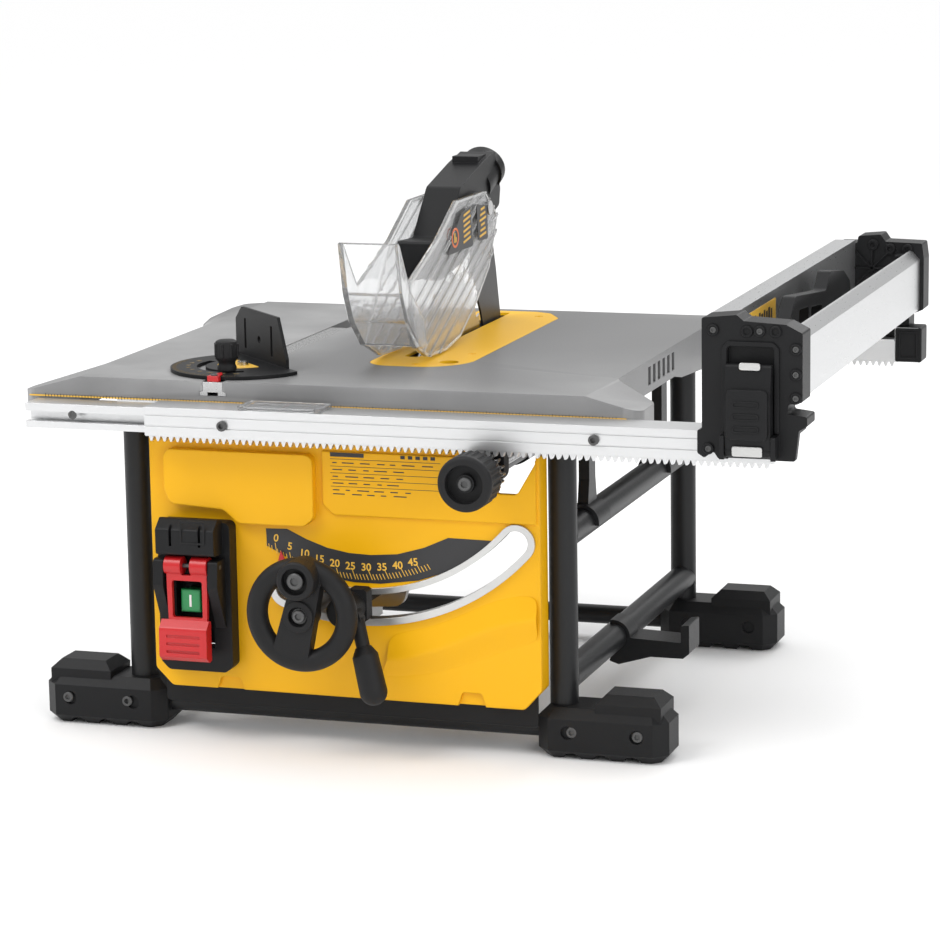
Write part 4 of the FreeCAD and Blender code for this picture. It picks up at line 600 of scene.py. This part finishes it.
# ---- fence --------------------------------------------------------------------------------------
def make_fence_details():
    """Rings, a raised latch recess, the latch's pad and bright hooks on the fence's ends."""
    profile = [(0, 5.0), (1.6, 5.0), (2.2, 4.5), (2.2, 3.2), (0.6, 3.0), (0.6, 0)]
    for k, (x, z) in enumerate(BRACKET_BOSSES):
        turned(f"bracket_boss_{k}", (x, BRACKET_FRONT, z), (0, -1, 0), profile, "rip_carrier", moulded,
               steps=28)
    arch = [(371.5, 313), (371.5, 385, 5), (376.5, 390, 5), (415.5, 390, 5), (420.5, 385, 5), (420.5, 313),
            (416.2, 313), (416.2, 386, 3), (376, 386, 3), (376, 313)]
    plate("latch_surround", "y", arch, BRACKET_FRONT - 2.5, BRACKET_FRONT, "rip_carrier", moulded,
          "black_plastic", radius=2, bevel=0.6)
    ends = (("front", "front_latch_lever", -52.0, -1), ("rear", "rear_latch_lever", 530.0, 1))
    for name, body, y, way in ends:
        face, out = y + way * 8.6, y + way * 11.2
        pad = [(378.6, 309), (413.8, 309), (413.8, 352), (378.6, 352)]
        plate(f"{name}_latch_pad", "y", pad, *sorted((face, out)), body, moulded, "black_plastic", radius=5,
              bevel=1.0)
        for k, z in enumerate((318.5, 329, 339.5)):
            groove = [(384, z - 3), (407, z - 3), (407, z + 3), (384, z + 3)]
            rim = [(385.4, z - 1.7), (405.6, z - 1.7), (405.6, z + 1.7), (385.4, z + 1.7)]
            plate(f"{name}_latch_groove_{k}", "y", groove, *sorted((out, out + way * 0.8)), body, moulded,
                  "black_plastic", radius=3, bevel=0.25, holes=[round_corners(rim, 1.7)])
        top = [(388.5, 367.5), (406.7, 367.5), (406.7, 373.8), (388.5, 373.8)]
        plate(f"{name}_latch_wire", "y", top, *sorted((y + way * 3.2, y + way * 5.6)), body, zinc,
              "bare_steel", radius=2.5, bevel=0.5)
    hook = [(383, 295), (409, 295), (409, 303.5), (383, 303.5)]
    plate("latch_hook_front", "y", hook, -60.4, -58.2, "front_latch_lever", zinc, "bare_steel", radius=2,
          bevel=0.5)
    plate("latch_hook_rear", "y", hook, 536.2, 538.4, "rear_latch_lever", zinc, "bare_steel", radius=2,
          bevel=0.5)
    spokes = [(389, 380, 46, 1.6, turn) for turn in (0, 45, 90, 135)]
    bars("rear_bracket_ribs", "y", spokes, 495.4, 498.1, "rip_carrier", moulded)
    profile = [(0, 5.2), (2.4, 5.2), (3.0, 4.6), (3.0, 2.6), (1.2, 2.4), (1.2, 0)]
    for k, (x, z) in enumerate(((390, 403), (407, 399), (424, 399))):
        turned(f"rear_bracket_boss_{k}", (x, 498.1, z), (0, -1, 0), profile, "rip_carrier", moulded,
               steps=28)
    cap = [(413.8, 288.8), (440.4, 288.8), (440.4, 323.2), (413.8, 323.2)]
    plate("rail_end_sleeve", "y", cap, 487.8, 516.2, "rip_carrier", moulded, "black_plastic", radius=2.5,
          bevel=1.0)
    panel = [(417.5, 292.5), (436.5, 292.5), (436.5, 319.5), (417.5, 319.5)]
    hollow = [(419.5, 294.5), (434.5, 294.5), (434.5, 317.5), (419.5, 317.5)]
    plate("rail_end_frame", "y", panel, 486.6, 487.8, "rip_carrier", moulded, "black_plastic", radius=2,
          bevel=0.4, holes=[hollow])
    sticker = [(40, 374), (150, 374), (150, 399), (40, 399)]
    plate("fence_label", "x", sticker, FENCE_INSIDE, FENCE_INSIDE + 0.25, "rip_carrier", yellow_ink,
          "panel", radius=2)
    patches = [(52 + 9 * k, 386.5, 5 + k % 3, 15 - 4 * (k % 2), 0) for k in range(10)]
    bars("fence_label_marks", "x", patches, FENCE_INSIDE + 0.25, FENCE_INSIDE + 0.4, "rip_carrier",
         black_ink)


# ---- miter gauge --------------------------------------------------------------------------------
def make_miter_marks():
    """Degree marks round the protractor and the pointer on the bar."""
    marks = []
    for degree in range(-60, 61, 2):
        a = math.radians(degree) + MITER_TURN
        long = 6 if degree % 10 == 0 else 3.5
        radius = 64.5 - long / 2
        u, v = MITER[0] + radius * math.sin(a), MITER[1] - radius * math.cos(a)
        marks.append((u, v, long, 0.35, math.degrees(a) - 90))
    bars("protractor_marks", "z", marks, MITER_FACE, MITER_FACE + 0.15, "miter_protractor", faded_ink)
    for degree in range(-60, 61, 15):
        a = math.radians(degree) + MITER_TURN
        u, v = MITER[0] + 50 * math.sin(a), MITER[1] - 50 * math.cos(a)
        lettering(f"protractor_{degree + 60}", str(abs(degree)), "z", u, v, MITER_FACE + 0.1, 5.5, a,
                  "miter_protractor", faded_ink)
    block = [(-112.5, 1), (-101.5, 1), (-101.5, 7), (-112.5, 7)]
    plate("miter_pointer_block", "z", block, 329.5, 334.2, "miter_slide_bar", red, "red_plastic", radius=1,
          bevel=0.5)
    pointer = [(-112.5, 1), (-101.5, 1), (-102.5, 14), (-106, 22), (-108, 22), (-111.5, 14)]
    plate("miter_pointer", "z", pointer, 334.0, 334.8, "miter_slide_bar", red, "red_plastic", bevel=0.25)
    cap_screw("miter_bar_screw", (MITER[0], 5, 334.8), (0, 0, 1), "miter_slide_bar", 3.0, 1.6)
    corners = ((-28, 8), (20, 8), (20, 0), (18, -10), (10, -18), (0, -21), (-12, -20), (-22, -14), (-28, -2))
    swung = []
    for x, y in corners:
        swung.append((MITER[0] + x * math.cos(MITER_TURN) - y * math.sin(MITER_TURN),
                      MITER[1] + x * math.sin(MITER_TURN) + y * math.cos(MITER_TURN)))
    plate("protractor_label", "z", swung, MITER_FACE, MITER_FACE + 0.15, "miter_protractor", yellow_ink,
          "panel", radius=3)


def make_miter_knob():
    """The fluted clamp knob: a waisted stem, then a domed grip with eight soft ribs."""
    centre = (MITER[0], MITER[1] - 38)
    profile = [(0, 3.4), (5.0, 3.4), (5.0, 8.6), (8.0, 8.8), (10.5, 7.6), (13.0, 7.8), (15.5, 10.2),
               (18.0, 10.6), (29.0, 10.6), (31.5, 9.6), (32.6, 7.5), (33.0, 0)]
    knob = turned("miter_clamp_knob", (*centre, 329.7), (0, 0, 1), profile, "miter_clamp", moulded_soft,
                  steps=48)
    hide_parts("miter_knob")
    for k in range(8):
        a = math.radians(45 * k)
        spot = (centre[0] + 10.2 * math.cos(a), centre[1] + 10.2 * math.sin(a), 347)
        rib = [(0, 0), (0.8, 1.6), (12.2, 1.6), (13, 0)]
        turned(f"miter_knob_rib_{k}", spot, (0, 0, 1), rib, "miter_clamp", moulded_soft,
               steps=12)


def make_table_details():
    """The level rear left wing, and a black plate behind the panel's lower edge that paints the shade seen
    there.
    """
    wing = [(-243.2, 310), (-251, 328, 8), (-260.5, 369, 10), (-265, 440, 20), (-262, 468, 14), (-248, 478, 8),
            (-243.2, 479)]
    plate("rear_left_wing_top", "z", wing, 316, 329.2, "frame", paint_table, "table", radius=3, bevel=2.0)
    # A black plate standing in for the dark shade between the panel's lower edge and the tube below: painted
    # shade.
    shade_outline = [(-166, 30), (190, 28), (190, 62), (-166, 64)]
    plate("panel_shade_plate", "y", shade_outline, 12.0, 14.0, "frame", moulded, "black_plastic", radius=4, bevel=0.8)
    for k, x in enumerate((-99, 131)):
        tab = [(x - 15, 46.5), (x + 15, 46.5), (x + 12, 60), (x - 12, 60)]
        plate(f"panel_tab_{k}", "y", tab, 7.5, 9.0, "frame", yellow_panel, "panel", radius=1.5, bevel=0.5)


make_bevel_scale()
make_rating_plate()
make_panel_waves()
make_switch_details()
make_rail_scale()
make_rail_cursor()
make_guard_details()
make_fence_details()
make_fasteners()
make_miter_marks()
make_miter_knob()
make_table_details()

# ---- camera, floor and light --------------------------------------------------------------------
def make_camera():
    """A long lens, low and to the right of the saw's front."""
    yaw, pitch, roll = 0.3172, 0.1924, -0.0157
    ahead = Vector((-math.sin(yaw) * math.cos(pitch), math.cos(yaw) * math.cos(pitch), -math.sin(pitch)))
    right = Vector((math.cos(yaw), math.sin(yaw), 0.0))
    up = right.cross(ahead)
    turned_right = right * math.cos(roll) + up * math.sin(roll)
    turned_up = up * math.cos(roll) - right * math.sin(roll)
    data = bpy.data.cameras.new("camera")
    data.lens, data.sensor_width, data.clip_end = 129.8, 36.0, 50.0
    camera = bpy.data.objects.new("camera", data)
    bpy.context.collection.objects.link(camera)
    turn = Matrix((turned_right, turned_up, -ahead)).transposed().to_4x4()
    camera.matrix_world = Matrix.Translation(at(1040.91, -2763.33, 827.28)) @ turn
    bpy.context.scene.camera = camera


def area_light(name, spot, target, size, power):
    """A round soft light at a spot, turned to its target."""
    data = bpy.data.lights.new(name, "AREA")
    data.shape, data.size, data.energy = "DISK", size, power
    light = bpy.data.objects.new(name, data)
    light.location = spot
    light.rotation_euler = (Vector(target) - Vector(spot)).to_track_quat("-Z", "Y").to_euler()
    bpy.context.collection.objects.link(light)


def make_studio():
    """A pale floor, a sky that is brighter overhead, and three soft lights."""
    mesh = bpy.data.meshes.new("floor")
    mesh.from_pydata([(-40, -40, 0), (40, -40, 0), (40, 40, 0), (-40, 40, 0)], [], [(0, 1, 2, 3)])
    floor = bpy.data.objects.new("floor", mesh)
    bpy.context.collection.objects.link(floor)
    mesh.materials.append(surface("floor_paper", (0.95, 0.95, 0.95), 0.8, mottle=0.005, grain=(60, 0.0)))
    world = bpy.data.worlds.new("studio")
    world.use_nodes = True
    tree = world.node_tree
    ray = node(tree, "ShaderNodeTexCoord")
    parts = node(tree, "ShaderNodeSeparateXYZ")
    rise = node(tree, "ShaderNodeMapRange")
    rise.inputs["From Min"].default_value = 0.0
    rise.inputs["From Max"].default_value = 1.0
    rise.inputs["To Min"].default_value = 0.30
    rise.inputs["To Max"].default_value = 1.45
    tree.links.new(ray.outputs["Generated"], parts.inputs["Vector"])
    tree.links.new(parts.outputs["Z"], rise.inputs["Value"])
    tree.links.new(rise.outputs["Result"], tree.nodes["Background"].inputs["Strength"])
    tree.nodes["Background"].inputs["Color"].default_value = (1, 1, 1, 1)
    bpy.context.scene.world = world
    bpy.context.scene.view_settings.view_transform = "Standard"
    area_light("key", (-1.4, -1.8, 2.6), (0, 0, 0.25), 1.6, 34)
    area_light("fill", (2.2, -2.0, 1.2), (0, 0, 0.25), 1.8, 16)
    area_light("back", (0.6, 2.4, 2.2), (0, 0, 0.3), 1.6, 22)


make_camera()
make_studio()
